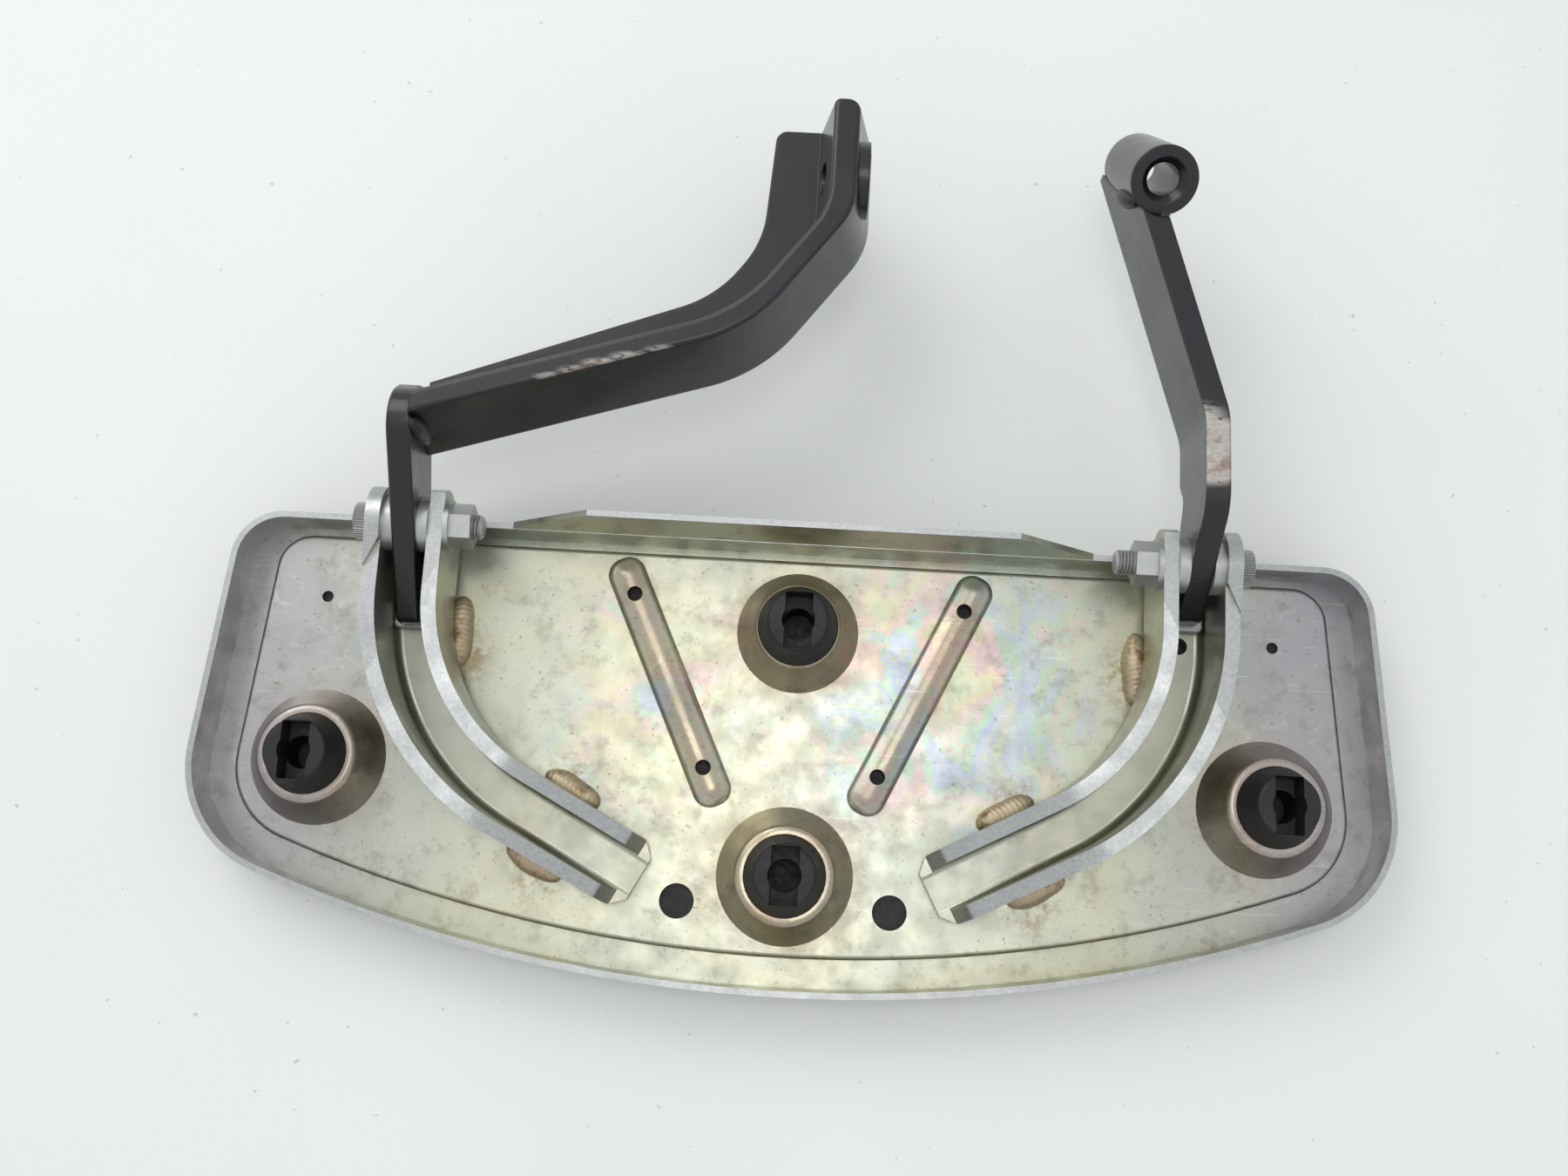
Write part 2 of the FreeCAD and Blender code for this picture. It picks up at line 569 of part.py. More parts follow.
# tread: one groove across the board, repeated along it both ways
s = sketch_in(rubber, "XY_Plane", "TreadGroove")
outline(s, [
    ("-tread_width / 2", "-outboard_edge - 1"),
    ("tread_width / 2", "-outboard_edge - 1"),
    ("tread_width / 2", "inboard_edge + 1"),
    ("-tread_width / 2", "inboard_edge + 1"),
])
groove = pocket(rubber, s, "TreadCut", "tread_depth", reverse=True)
both = rubber.newObject("PartDesign::MultiTransform", "TreadRow")
both.Originals = [groove]
steps = []
for name, flip in (("TreadRight", False), ("TreadLeft", True)):
    step = rubber.newObject("PartDesign::LinearPattern", name)
    step.Direction = (s, ["H_Axis"])
    step.Reversed = flip
    step.Mode = "Spacing"
    step.setExpression("Offset", named("tread_pitch"))
    step.Occurrences = 8
    steps.append(step)
both.Transformations = steps
rubber.Tip = both
doc.recompute()


# ---------------------------------------------------------------- channels
def along_end(run, across, side):
    """Point so far back from the channel's end, and so far to its outer side."""
    x_out = f"({across}) * sin(chan_end_angle)"
    y_out = f"({across}) * cos(chan_end_angle)"
    x_text = f"{side}(chan_end_x + ({run}) * cos(chan_end_angle) + {x_out})"
    y_text = f"(-chan_end_y + ({run}) * sin(chan_end_angle) - {y_out})"
    return x_text, y_text


def make_channel(label, side):
    body = new_body(label)
    run = sketch_in(body, "XY_Plane", "Run", FLAT)
    sign = -1.0 if side == "-" else 1.0
    x_0 = sign * num(named("chan_x"))
    y_0 = num(named("chan_start_y"))
    radius = num(named("chan_radius"))
    turn = math.radians(90 - num(named("chan_end_angle")))
    lean = math.radians(num(named("chan_end_angle")))
    end = FreeCAD.Vector(sign * num(named("chan_end_x")), -num(named("chan_end_y")), 0)
    away = FreeCAD.Vector(sign * math.cos(lean), math.sin(lean), 0)
    # the last straight meets the first one here
    meet_y = end.y + (abs(x_0) - abs(end.x)) * math.tan(lean)
    cut = radius * math.tan(turn / 2)
    first = FreeCAD.Vector(x_0, meet_y + cut, 0)
    hub = FreeCAD.Vector(x_0 - sign * radius, first.y, 0)
    corner = FreeCAD.Vector(x_0, meet_y, 0)
    second = corner - away * cut
    ear_line = run.addGeometry(Part.LineSegment(FreeCAD.Vector(x_0, y_0, 0), first), False)
    if side == "-":
        curve = run.addGeometry(arc_of(hub, radius, first, second), False)
        near, far = 1, 2
    else:
        curve = run.addGeometry(arc_of(hub, radius, second, first), False)
        near, far = 2, 1
    tail = run.addGeometry(Part.LineSegment(second, end), False)
    run.addConstraint(Sketcher.Constraint("Tangent", ear_line, 2, curve, near))
    run.addConstraint(Sketcher.Constraint("Tangent", curve, far, tail, 1))
    run.addConstraint(Sketcher.Constraint("Vertical", ear_line))
    fix_point(run, ear_line, 1, f"{side}chan_x", "chan_start_y")
    fix_point(run, tail, 2, f"{side}chan_end_x", "-chan_end_y")
    index = run.addConstraint(Sketcher.Constraint("Radius", curve, radius))
    run.setExpression(f"Constraints[{index}]", named("chan_radius"))
    section = sketch_in(body, "XZ_Plane", "Section", "-chan_start_y")
    half = "chan_width / 2"
    top = FLAT + " + pivot_rise + ear_round"
    outline(section, [
        (f"{side}chan_x - {half}", FLAT, "chan_bend"),
        (f"{side}chan_x + {half}", FLAT, "chan_bend"),
        (f"{side}chan_x + {half}", top),
        (f"{side}chan_x + {half} - chan_plate", top),
        (f"{side}chan_x + {half} - chan_plate", FLAT + " + chan_plate",
         "chan_bend - chan_plate"),
        (f"{side}chan_x - {half} + chan_plate", FLAT + " + chan_plate",
         "chan_bend - chan_plate"),
        (f"{side}chan_x - {half} + chan_plate", top),
        (f"{side}chan_x - {half}", top),
    ])
    sweep = body.newObject("PartDesign::AdditivePipe", "Channel")
    sweep.Profile = section
    sweep.Spine = (run, ["Edge1", "Edge2", "Edge3"])
    doc.recompute()
    # flange height along the run, cut square to the last straight
    turned = "-chan_end_angle" if side == "-" else "chan_end_angle"
    s = sketch_in(body, "XZ_Plane", "SideLine", "0")
    s.setExpression("AttachmentOffset.Rotation.Angle", None)
    s.AttachmentOffset = FreeCAD.Placement(
        FreeCAD.Vector(0, 0, 0), FreeCAD.Rotation(FreeCAD.Vector(0, 1, 0), 0))
    s.setExpression("AttachmentOffset.Rotation.Angle", named(turned))
    s.setExpression("AttachmentOffset.Rotation.Axis.x", "0")
    s.setExpression("AttachmentOffset.Rotation.Axis.y", "1")
    s.setExpression("AttachmentOffset.Rotation.Axis.z", "0")
    doc.recompute()
    end_u = "(chan_end_x * cos(chan_end_angle) - chan_end_y * sin(chan_end_angle))"
    outline(s, [
        (f"{side}({end_u} + 125)", FLAT + " + side_high + 0.01"),
        (f"{side}({end_u} + 105)", FLAT + " + side_high - 0.5"),
        (f"{side}({end_u} + 54)", FLAT + " + side_mid", "30"),
        (f"{side}({end_u} + 9)", FLAT + " + side_low", "3"),
        (f"{side}({end_u} + 4)", FLAT + " + chan_plate + 0.3"),
        (f"{side}({end_u} - 20)", FLAT + " + chan_plate + 0.3"),
        (f"{side}({end_u} - 20)", FLAT + " + 60"),
        (f"{side}({end_u} + 125)", FLAT + " + 60"),
    ])
    pocket(body, s, "SideCut", "cut_through", midplane=True)
    # the end tab's two cut corners
    s = sketch_in(body, "XY_Plane", "TabCorners", FLAT)
    for way in ("-", ""):
        outline(s, [
            along_end("-1", f"{way}(chan_width / 2 + 1)", side),
            along_end("tab_chamfer + 1", f"{way}(chan_width / 2 + 1)", side),
            along_end("-1", f"{way}(chan_width / 2 - tab_chamfer - 1)", side),
        ])
    pocket(body, s, "TabCut", "cut_through", midplane=True)
    # ear outline: a round ear, its front edge running down to the flange height
    s = sketch_in(body, "YZ_Plane", "EarLine")
    radius = num(named("ear_round"))
    hub = FreeCAD.Vector(num(named("pivot_y")), num(named(PIVOT)), 0)
    knee = FreeCAD.Vector(hub.x - 20, num(named(FLAT + " + side_high")), 0)
    toward = math.atan2(knee.y - hub.y, knee.x - hub.x)
    reach = hub.distanceToPoint(knee)
    touch = toward - math.acos(radius / reach)
    ring = Part.Circle(hub, FreeCAD.Vector(0, 0, 1), radius)
    ear = s.addGeometry(Part.ArcOfCircle(ring, math.radians(-60), touch), False)
    low_end = s.Geometry[ear].StartPoint
    top_end = s.Geometry[ear].EndPoint
    web_y = num(named("web_end_y"))
    slope = (low_end.x - web_y) * math.tan(math.radians(30))
    corner = FreeCAD.Vector(web_y, low_end.y - slope, 0)
    z_low = num(named("pad_thick"))
    out = num(named("chan_start_y + 2"))
    far = -num(named("outboard_edge"))
    high = num(named(PIVOT + " + ear_round + 4"))
    points = [low_end, corner, FreeCAD.Vector(web_y, z_low, 0), FreeCAD.Vector(out, z_low, 0),
              FreeCAD.Vector(out, high, 0), FreeCAD.Vector(far, high, 0),
              FreeCAD.Vector(far, knee.y, 0), knee, top_end]
    lines = []
    for a, b in zip(points, points[1:]):
        lines.append(s.addGeometry(Part.LineSegment(a, b), False))
    s.addConstraint(Sketcher.Constraint("Tangent", ear, 1, lines[0], 1))
    for a, b in zip(lines, lines[1:]):
        s.addConstraint(Sketcher.Constraint("Coincident", a, 2, b, 1))
    s.addConstraint(Sketcher.Constraint("Tangent", lines[-1], 2, ear, 2))
    s.addConstraint(Sketcher.Constraint("Vertical", lines[1]))
    index = s.addConstraint(Sketcher.Constraint("Radius", ear, radius))
    s.setExpression(f"Constraints[{index}]", named("ear_round"))
    s.addConstraint(Sketcher.Constraint("Angle", lines[0], math.radians(-150)))
    fix_point(s, ear, 3, "pivot_y", PIVOT)
    fix_point(s, lines[2], 1, "web_end_y", "pad_thick")
    fix_point(s, lines[3], 1, "chan_start_y + 2", "pad_thick")
    fix_point(s, lines[4], 1, "chan_start_y + 2", PIVOT + " + ear_round + 4")
    fix_point(s, lines[5], 1, "-outboard_edge", PIVOT + " + ear_round + 4")
    fix_point(s, lines[6], 1, "-outboard_edge", FLAT + " + side_high")
    fix_point(s, lines[7], 1, "pivot_y - 20", FLAT + " + side_high")
    doc.recompute()
    pocket(body, s, "EarCut", "cut_through", midplane=True)
    s = sketch_in(body, "YZ_Plane", "BoltAxis")
    circle_in(s, "pivot_y", PIVOT, "bolt_hole")
    pocket(body, s, "BoltHole", "cut_through", midplane=True)
    return body


left_channel = make_channel("left_channel", "-")
right_channel = make_channel("right_channel", "")
s = sketch_in(right_channel, "XY_Plane", "WebAxis", "pad_thick")
circle_in(s, "chan_x", "web_hole_y", "web_hole")
pocket(right_channel, s, "WebHole", "pad_thick", reverse=True)


# ---------------------------------------------------------------- stop pads
def make_stop(label, side, y_text):
    body = new_body(label)
    s = sketch_in(body, "XY_Plane", "StopOutline", FLAT + " + chan_plate")
    near = f"{y_text} - stop_deep / 2"
    far = f"{y_text} + stop_deep / 2"
    outline(s, [
        (f"{side}chan_x - stop_long / 2", near, "corner_soft"),
        (f"{side}chan_x + stop_long / 2", near, "corner_soft"),
        (f"{side}chan_x + stop_long / 2", far, "corner_soft"),
        (f"{side}chan_x - stop_long / 2", far, "corner_soft"),
    ])
    last = pad(body, s, "StopBlock", "stop_thick")
    z_top = num(named(FLAT + " + chan_plate + stop_thick"))
    last = soften(body, last, "StopEdge", "edge_soft", lambda p: close(p.z, z_top))
    # the foot clears the channel's inner bends
    bend = "(chan_bend - chan_plate)"
    s = sketch_in(body, "XZ_Plane", "FootBend", f"-({y_text})")
    floor = FLAT + " + chan_plate"
    for way in ("-", "+"):
        edge = f"{side}chan_x {way} stop_long / 2"
        outline(s, [
            (f"{edge} {way} 1", f"{floor} - 1"),
            (f"{edge} {'+' if way == '-' else '-'} ({bend} + 1)", f"{floor} - 1"),
            (f"{edge} {way} 1", f"{floor} + {bend} + 1"),
        ])
    pocket(body, s, "FootCut", "cut_through", midplane=True)
    return body


left_stop = make_stop("left_stop_pad", "-", "stop_y")
right_stop = make_stop("right_stop_pad", "", "stop_right_y")


# ---------------------------------------------------------------- pivot hardware
def make_bolt(label, side, past):
    body = new_body(label)
    toward = side == ""
    outer = f"{side}(chan_x + chan_width / 2)"
    s = sketch_in(body, "YZ_Plane", "Head", outer)
    circle_in(s, "pivot_y", PIVOT, "bolt_head")
    last = pad(body, s, "BoltHead", "bolt_head_high", reverse=not toward)
    x_end = num(named(f"{side}(chan_x + chan_width / 2 + bolt_head_high)"))
    soften(body, last, "HeadEdge", "edge_soft", lambda p: close(p.x, x_end))
    s = sketch_in(body, "YZ_Plane", "Shank", outer)
    circle_in(s, "pivot_y", PIVOT, "bolt_shank")
    last = pad(body, s, "BoltShank", f"chan_width + nut_high + {past}", reverse=toward)
    x_tip = num(named(f"{side}(chan_x - chan_width / 2 - nut_high - {past})"))
    tip = body.newObject("PartDesign::Chamfer", "TipChamfer")
    tip.Base = (last, edges_where(last, lambda p: close(p.x, x_tip)))
    tip.setExpression("Size", named("thread_chamfer"))
    doc.recompute()
    s = sketch_in(body, "YZ_Plane", "Socket", f"{side}(chan_x + chan_width / 2 + bolt_head_high)")
    corners = []
    for k in range(6):
        corners.append((f"pivot_y + bolt_socket / sqrt(3) * cos({60 * k})",
                        f"{PIVOT} + bolt_socket / sqrt(3) * sin({60 * k})"))
    outline(s, corners)
    pocket(body, s, "BoltSocket", "bolt_head_high * 0.6", reverse=not toward)
    return body


def make_nut(label, side):
    body = new_body(label)
    toward = side == ""
    face = f"{side}(chan_x - chan_width / 2)"
    s = sketch_in(body, "YZ_Plane", "Hexagon", face)
    corners = []
    for k in range(6):
        corners.append((f"pivot_y + nut_flats / sqrt(3) * cos({60 * k + 12})",
                        f"{PIVOT} + nut_flats / sqrt(3) * sin({60 * k + 12})"))
    outline(s, corners)
    pad(body, s, "NutHexagon", "nut_high", reverse=toward)
    s = sketch_in(body, "YZ_Plane", "FlangeRing", face)
    circle_in(s, "pivot_y", PIVOT, "nut_flange")
    pad(body, s, "NutFlange", "nut_flange_thick", reverse=toward)
    s = sketch_in(body, "YZ_Plane", "NutAxis", face)
    circle_in(s, "pivot_y", PIVOT, "bolt_shank + 0.06")
    pocket(body, s, "NutBore", "nut_high", reverse=not toward)
    return body


def make_washers(label, side):
    body = new_body(label)
    gap = "((chan_width / 2 - chan_plate) - tang_thick / 2)"
    for name, edge, flip in (("Near", f"{side}chan_x - chan_width / 2 + chan_plate", False),
                             ("Far", f"{side}chan_x + chan_width / 2 - chan_plate", True)):
        s = sketch_in(body, "YZ_Plane", name + "Ring", edge)
        circle_in(s, "pivot_y", PIVOT, "washer_round")
        circle_in(s, "pivot_y", PIVOT, "bolt_hole")
        pad(body, s, name + "Washer", f"{gap} - washer_play", reverse=flip)
    return body


left_bolt = make_bolt("left_pivot_bolt", "-", "bolt_past_nut")
right_bolt = make_bolt("right_pivot_bolt", "", "bolt_past_right")
left_nut = make_nut("left_pivot_nut", "-")
right_nut = make_nut("right_pivot_nut", "")


# ---------------------------------------------------------------- arms
def tang_profile(body, corners):
    """Plate between the ears, square to the pivot, with its bore."""
    s = sketch_in(body, "YZ_Plane", "TangOutline",
                  "-chan_x" if body.Label.startswith("left") else "chan_x")
    outline(s, corners)
    last = pad(body, s, "Tang", "tang_thick", midplane=True)
    return last


def tang_bore(body):
    s = sketch_in(body, "YZ_Plane", "TangAxis")
    circle_in(s, "pivot_y", PIVOT, "tang_bore")
    return pocket(body, s, "TangBore", "cut_through", midplane=True)


STOP_TOP = "(" + FLAT + " + chan_plate + stop_thick + stop_gap)"
left_tang = new_body("left_arm_tang")
last = tang_profile(left_tang, [
    ("stop_y - tail_tip", STOP_TOP, "sheet_thick"),
    ("pivot_y - tail_long", STOP_TOP),
    ("pivot_y - lobe_low / 5", PIVOT + " - lobe_low", "ear_round"),
    ("pivot_y + neck_out", PIVOT, "5"),
    ("pivot_y + crown_out", PIVOT + " + crown_side", "crown_side"),
    ("pivot_y + crown_in", PIVOT + " + crown_high", "crown_side"),
    ("stop_y - tail_tip", STOP_TOP + " + tail_high", "tail_high / 3"),
])
x_face = num(named("-chan_x + tang_thick / 2"))
x_back = num(named("-chan_x - tang_thick / 2"))
soften(left_tang, last, "TangEdge", "plate_soft",
       lambda p: (close(p.x, x_face) or close(p.x, x_back)) and p.z > 55)
tang_bore(left_tang)

TOP = "(" + FLAT + " + strap_top)"
left_strap = new_body("left_arm_strap")
s = sketch_in(left_strap, "XY_Plane", "WallTop", TOP)
ROOT_X = "-chan_x + tang_thick / 2 - bead_round"
outline(s, [
    (ROOT_X, "pivot_y + root_front"),
    ("-bow_x", "pivot_y + bow_out", "60"),
    ("-knee_x", "pivot_y + knee_out", "50"),
    ("rise_x", "pivot_y + rise_out", "22"),
    ("rise_x", "pivot_y + arm_reach", "4"),
    ("back_x", "pivot_y + arm_reach", "2"),
    ("back_x", "pivot_y + rise_out", "24"),
    ("-back_knee_x", "pivot_y + back_knee_out", "50"),
    (ROOT_X, "pivot_y + root_back"),
])
last = pad(left_strap, s, "StrapWall", "strap_high", taper="strap_draft", reverse=True)
s = sketch_in(left_strap, "XY_Plane", "LedgeTop", TOP + " - strap_high + ledge_thick")
outline(s, [
    (ROOT_X, "pivot_y + root_back - 1"),
    ("-bow_x", "pivot_y + bow_out + 4", "40"),
    ("-knee_x", "pivot_y + knee_out + 6", "30"),
    ("back_x + 2", "pivot_y + rise_out"),
    ("back_x + 2", "pivot_y + arm_reach - 1"),
    ("-ledge_x", "pivot_y + arm_reach - 1", "4"),
    ("-ledge_side_x", "pivot_y + ledge_side_out", "34"),
    ("-ledge_bow_x", "pivot_y + ledge_bow_out", "40"),
    (ROOT_X, "pivot_y + ledge_root"),
])
last = pad(left_strap, s, "Ledge", "ledge_thick", reverse=True)
s = sketch_in(left_strap, "YZ_Plane", "RingFace", "back_x + 2")
circle_in(s, "mount_y", FLAT + " + mount_rise", "ring_round")
pad(left_strap, s, "RingPad", "ring_face - back_x - 2")
s = sketch_in(left_strap, "YZ_Plane", "RingBore")
circle_in(s, "mount_y", FLAT + " + mount_rise", "mount_hole")
pocket(left_strap, s, "RingHole", "100", midplane=True)
s = sketch_in(left_strap, "YZ_Plane", "TangSide", "-chan_x + tang_thick / 2")
outline(s, [
    ("pivot_y", FLAT),
    ("pivot_y + 80", FLAT),
    ("pivot_y + 80", FLAT + " + 80"),
    ("pivot_y", FLAT + " + 80"),
])
last = pocket(left_strap, s, "TangFace", "30")
z_top = num(named(TOP))
soften(left_strap, last, "StrapEdge", "1.4",
       lambda p: close(p.z, z_top) and p.x > x_face + 0.01)

right_bar = new_body("right_arm_bar")
last = tang_profile(right_bar, [
    ("stop_right_y - tail_tip_right", STOP_TOP, "corner_soft / 2"),
    ("stop_right_y + tail_tip_right / 2", STOP_TOP),
    ("pivot_y - lobe_low / 5", PIVOT + " - lobe_low", "ear_round"),
    ("pivot_y + tail_long", PIVOT + " - 1.5", "4"),
    ("pivot_y + tail_long + 6", FLAT + " + bar_top - bar_high"),
    ("bar_bend_y - 6", FLAT + " + bar_top - bar_high"),
    ("bar_bend_y - 6", FLAT + " + bar_top"),
    ("pivot_y + lobe_low", FLAT + " + bar_top", "lobe_low"),
    ("stop_right_y - tail_tip_right", STOP_TOP + " + tail_high", "tail_high / 3"),
])
run = sketch_in(right_bar, "XY_Plane", "BarRun", FLAT + " + bar_top")
lean = math.radians(num(named("bar_bend_angle")))
radius = num(named("bar_bend_radius"))
x_0 = num(named("chan_x"))
y_bend = num(named("bar_bend_y"))
cut = radius * math.tan(lean / 2)
start = FreeCAD.Vector(x_0, y_bend - 6, 0)
first = FreeCAD.Vector(x_0, y_bend - cut, 0)
away = FreeCAD.Vector(-math.sin(lean), math.cos(lean), 0)
second = FreeCAD.Vector(x_0, y_bend, 0) + away * cut
hub = FreeCAD.Vector(x_0 - radius, first.y, 0)
far = FreeCAD.Vector(x_0, y_bend, 0) + away * (num(named("tube_y - bar_bend_y")) + 12)
line_a = run.addGeometry(Part.LineSegment(start, first), False)
curve = run.addGeometry(arc_of(hub, radius, first, second), False)
line_b = run.addGeometry(Part.LineSegment(second, far), False)
run.addConstraint(Sketcher.Constraint("Tangent", line_a, 2, curve, 1))
run.addConstraint(Sketcher.Constraint("Tangent", curve, 2, line_b, 1))
run.addConstraint(Sketcher.Constraint("Vertical", line_a))
fix_point(run, line_a, 1, "chan_x", "bar_bend_y - 6")
bend = run.addGeometry(Part.Point(FreeCAD.Vector(x_0, y_bend, 0)), True)
run.addConstraint(Sketcher.Constraint("PointOnObject", bend, 1, line_b))
fix_point(run, bend, 1, "chan_x", "bar_bend_y")
index = run.addConstraint(Sketcher.Constraint("Radius", curve, radius))
run.setExpression(f"Constraints[{index}]", named("bar_bend_radius"))
index = run.addConstraint(Sketcher.Constraint("Angle", line_b, math.pi / 2 + lean))
run.setExpression(f"Constraints[{index}]", named("90 + bar_bend_angle"))
index = run.addConstraint(Sketcher.Constraint("DistanceY", bend, 1, line_b, 2, far.y - y_bend))
run.setExpression(f"Constraints[{index}]", named("tube_y - bar_bend_y + 8"))
section = sketch_in(right_bar, "XZ_Plane", "BarSection", "-(bar_bend_y - 6)")
outline(section, [
    ("chan_x - tang_thick / 2", FLAT + " + bar_top - bar_high"),
    ("chan_x + tang_thick / 2", FLAT + " + bar_top - bar_high"),
    ("chan_x + tang_thick / 2", FLAT + " + bar_top"),
    ("chan_x - tang_thick / 2", FLAT + " + bar_top"),
])
sweep = right_bar.newObject("PartDesign::AdditivePipe", "Bar")
sweep.Profile = section
sweep.Spine = (run, ["Edge1", "Edge2", "Edge3"])
doc.recompute()
TUBE = "(" + FLAT + " + tube_rise)"
# the bar stops short of the tube's middle line
s = sketch_in(right_bar, "YZ_Plane", "BarEnd")
outline(s, [
    ("tube_y - 4 - 40 * tan(tube_tilt)", TUBE + " + 40"),
    ("tube_y - 4 + 50 * tan(tube_tilt)", TUBE + " - 50"),
    ("tube_y + 80", TUBE + " - 50"),
    ("tube_y + 80", TUBE + " + 40"),
])
pocket(right_bar, s, "BarTrim", "cut_through", midplane=True)


def lean_like_tube(thing):
    """Turns an object's own placement, or a sketch's offset, to the tube's axis."""
    thing.Placement.Rotation = FreeCAD.Rotation(FreeCAD.Vector(1, 0, 0), 30)
    thing.setExpression("Placement.Rotation.Angle", named("tube_tilt"))
    thing.setExpression("Placement.Rotation.Axis.x", named("cos(tube_lean)"))
    thing.setExpression("Placement.Rotation.Axis.y", named("sin(tube_lean)"))
    thing.setExpression("Placement.Rotation.Axis.z", "0")


tang_bore(right_bar)
# the bar's end is notched to sit against the tube
notch = right_bar.newObject("PartDesign::SubtractiveCylinder", "TubeSaddle")
notch.setExpression("Radius", named("tube_round / 2"))
notch.setExpression("Height", named("2 * tube_long"))
swing = FreeCAD.Rotation(FreeCAD.Vector(1, 0, 0), 30)
notch.AttachmentSupport = [(next(f for f in right_bar.Origin.OriginFeatures
                                 if f.Role == "XY_Plane"), "")]
notch.MapMode = "FlatFace"
notch.AttachmentOffset = FreeCAD.Placement(FreeCAD.Vector(0, 0, 0), swing)
notch.setExpression("AttachmentOffset.Rotation.Angle", named("tube_tilt"))
notch.setExpression("AttachmentOffset.Rotation.Axis.x", named("cos(tube_lean)"))
notch.setExpression("AttachmentOffset.Rotation.Axis.y", named("sin(tube_lean)"))
notch.setExpression("AttachmentOffset.Rotation.Axis.z", "0")
notch.setExpression("AttachmentOffset.Base.x",
                    named("tube_x - tube_long * sin(tube_lean) * sin(tube_tilt)"))
notch.setExpression("AttachmentOffset.Base.y",
                    named("tube_y + tube_long * cos(tube_lean) * sin(tube_tilt)"))
notch.setExpression("AttachmentOffset.Base.z", named(TUBE + " - tube_long * cos(tube_tilt)"))
doc.recompute()

tube = doc.addObject("PartDesign::Body", "Body_right_arm_tube")
tube.Label = "right_arm_tube"
tube.setExpression("Placement.Base.x", named("tube_x"))
tube.setExpression("Placement.Base.y", named("tube_y - frame_shift"))
tube.setExpression("Placement.Base.z", named(TUBE))
lean_like_tube(tube)
s = sketch_in(tube, "XY_Plane", "TubeRings")
circle_in(s, "0", "0", "tube_round")
circle_in(s, "0", "0", "tube_bore")
last = pad(tube, s, "TubeWall", "tube_long", midplane=True)
bore_r = num(named("tube_bore")) / 2
mouths = edges_where(
    last, lambda p: abs(math.hypot(p.x, p.y) - bore_r) < 0.01)
half_long = num(named("tube_long")) / 2
mouths = [name for name in mouths
          if abs(abs(last.Shape.getElement(name).BoundBox.Center.z) - half_long) < 0.01]
mouth = tube.newObject("PartDesign::Chamfer", "TubeMouths")
mouth.Base = (last, mouths)
mouth.setExpression("Size", named("tube_chamfer"))
doc.recompute()

left_washers = make_washers("left_thrust_washers", "-")
right_washers = make_washers("right_thrust_washers", "")


# ---------------------------------------------------------------- weld beads
def bead(name, start, direction, long_text, round_text):
    """Rod of weld metal from a start point along a direction in three texts."""
    names = {"Rod": ("Part::Cylinder", "0")}
    pieces = []
    size = f"sqrt(({direction[0]})^2 + ({direction[1]})^2 + ({direction[2]})^2)"
    for part_name, (kind, shift) in names.items():
        piece = doc.addObject(kind, name + part_name)
        piece.setExpression("Radius", named(round_text))
        if kind == "Part::Cylinder":
            piece.setExpression("Height", named(long_text))
        piece.Placement.Rotation = FreeCAD.Rotation(FreeCAD.Vector(1, 1, 0), 30)
        # turns +Z to the direction, about the level line square to it
        x_text, y_text, z_text = direction
        piece.setExpression("Placement.Rotation.Axis.x", named(f"-({y_text}) / {size}"))
        piece.setExpression("Placement.Rotation.Axis.y", named(f"({x_text}) / {size}"))
        piece.setExpression("Placement.Rotation.Axis.z", "0")
        piece.setExpression("Placement.Rotation.Angle", named(f"acos(({z_text}) / {size})"))
        for axis, base, way in zip("xyz", start, direction):
            extra = " - frame_shift" if axis == "y" else ""
            text = f"{base} + ({shift}) * ({way}) / {size}{extra}"
            piece.setExpression(f"Placement.Base.{axis}", named(text))
        pieces.append(piece)
    doc.recompute()
    return pieces


def welded(label, pieces, neighbours):
    """The beads less the metal they lie against."""
    metal = doc.addObject("Part::MultiFuse", label + "_metal")
    metal.Shapes = neighbours
    whole = pieces[0]
    if len(pieces) > 1:
        whole = doc.addObject("Part::MultiFuse", label + "_beads")
        whole.Shapes = pieces
    node = doc.addObject("Part::Cut", "Cut_" + label)
    node.Base = whole
    node.Tool = metal
    node.Label = label
    doc.recompute()
    return node


def channel_beads(label, side, channel):
    """Beads along the channel: one by the ear, two on the last straight."""
    seam_z = FLAT + " + bead_round / 2"
    seam = "(chan_width / 2 - bead_round / 10)"
    long_text = "bead_long - 2 * bead_round"
    run_back = (f"{side}cos(chan_end_angle)", "sin(chan_end_angle)", "0")
    pieces = bead(label + "Ear", (f"{side}(chan_x - {seam})", "web_end_y - 2 * bead_long", seam_z),
                  ("0", "1", "0"), long_text, "bead_round")
    for name, across, run in (("In", "-" + seam, "bead_long + 4 * bead_round"),
                              ("Out", seam, "bead_long + 2 * bead_round")):
        x_text, y_text = along_end(run, across, side)
        pieces += bead(label + name, (x_text, y_text, seam_z), run_back, long_text, "bead_round")
    return welded(label, pieces, [pan, channel])


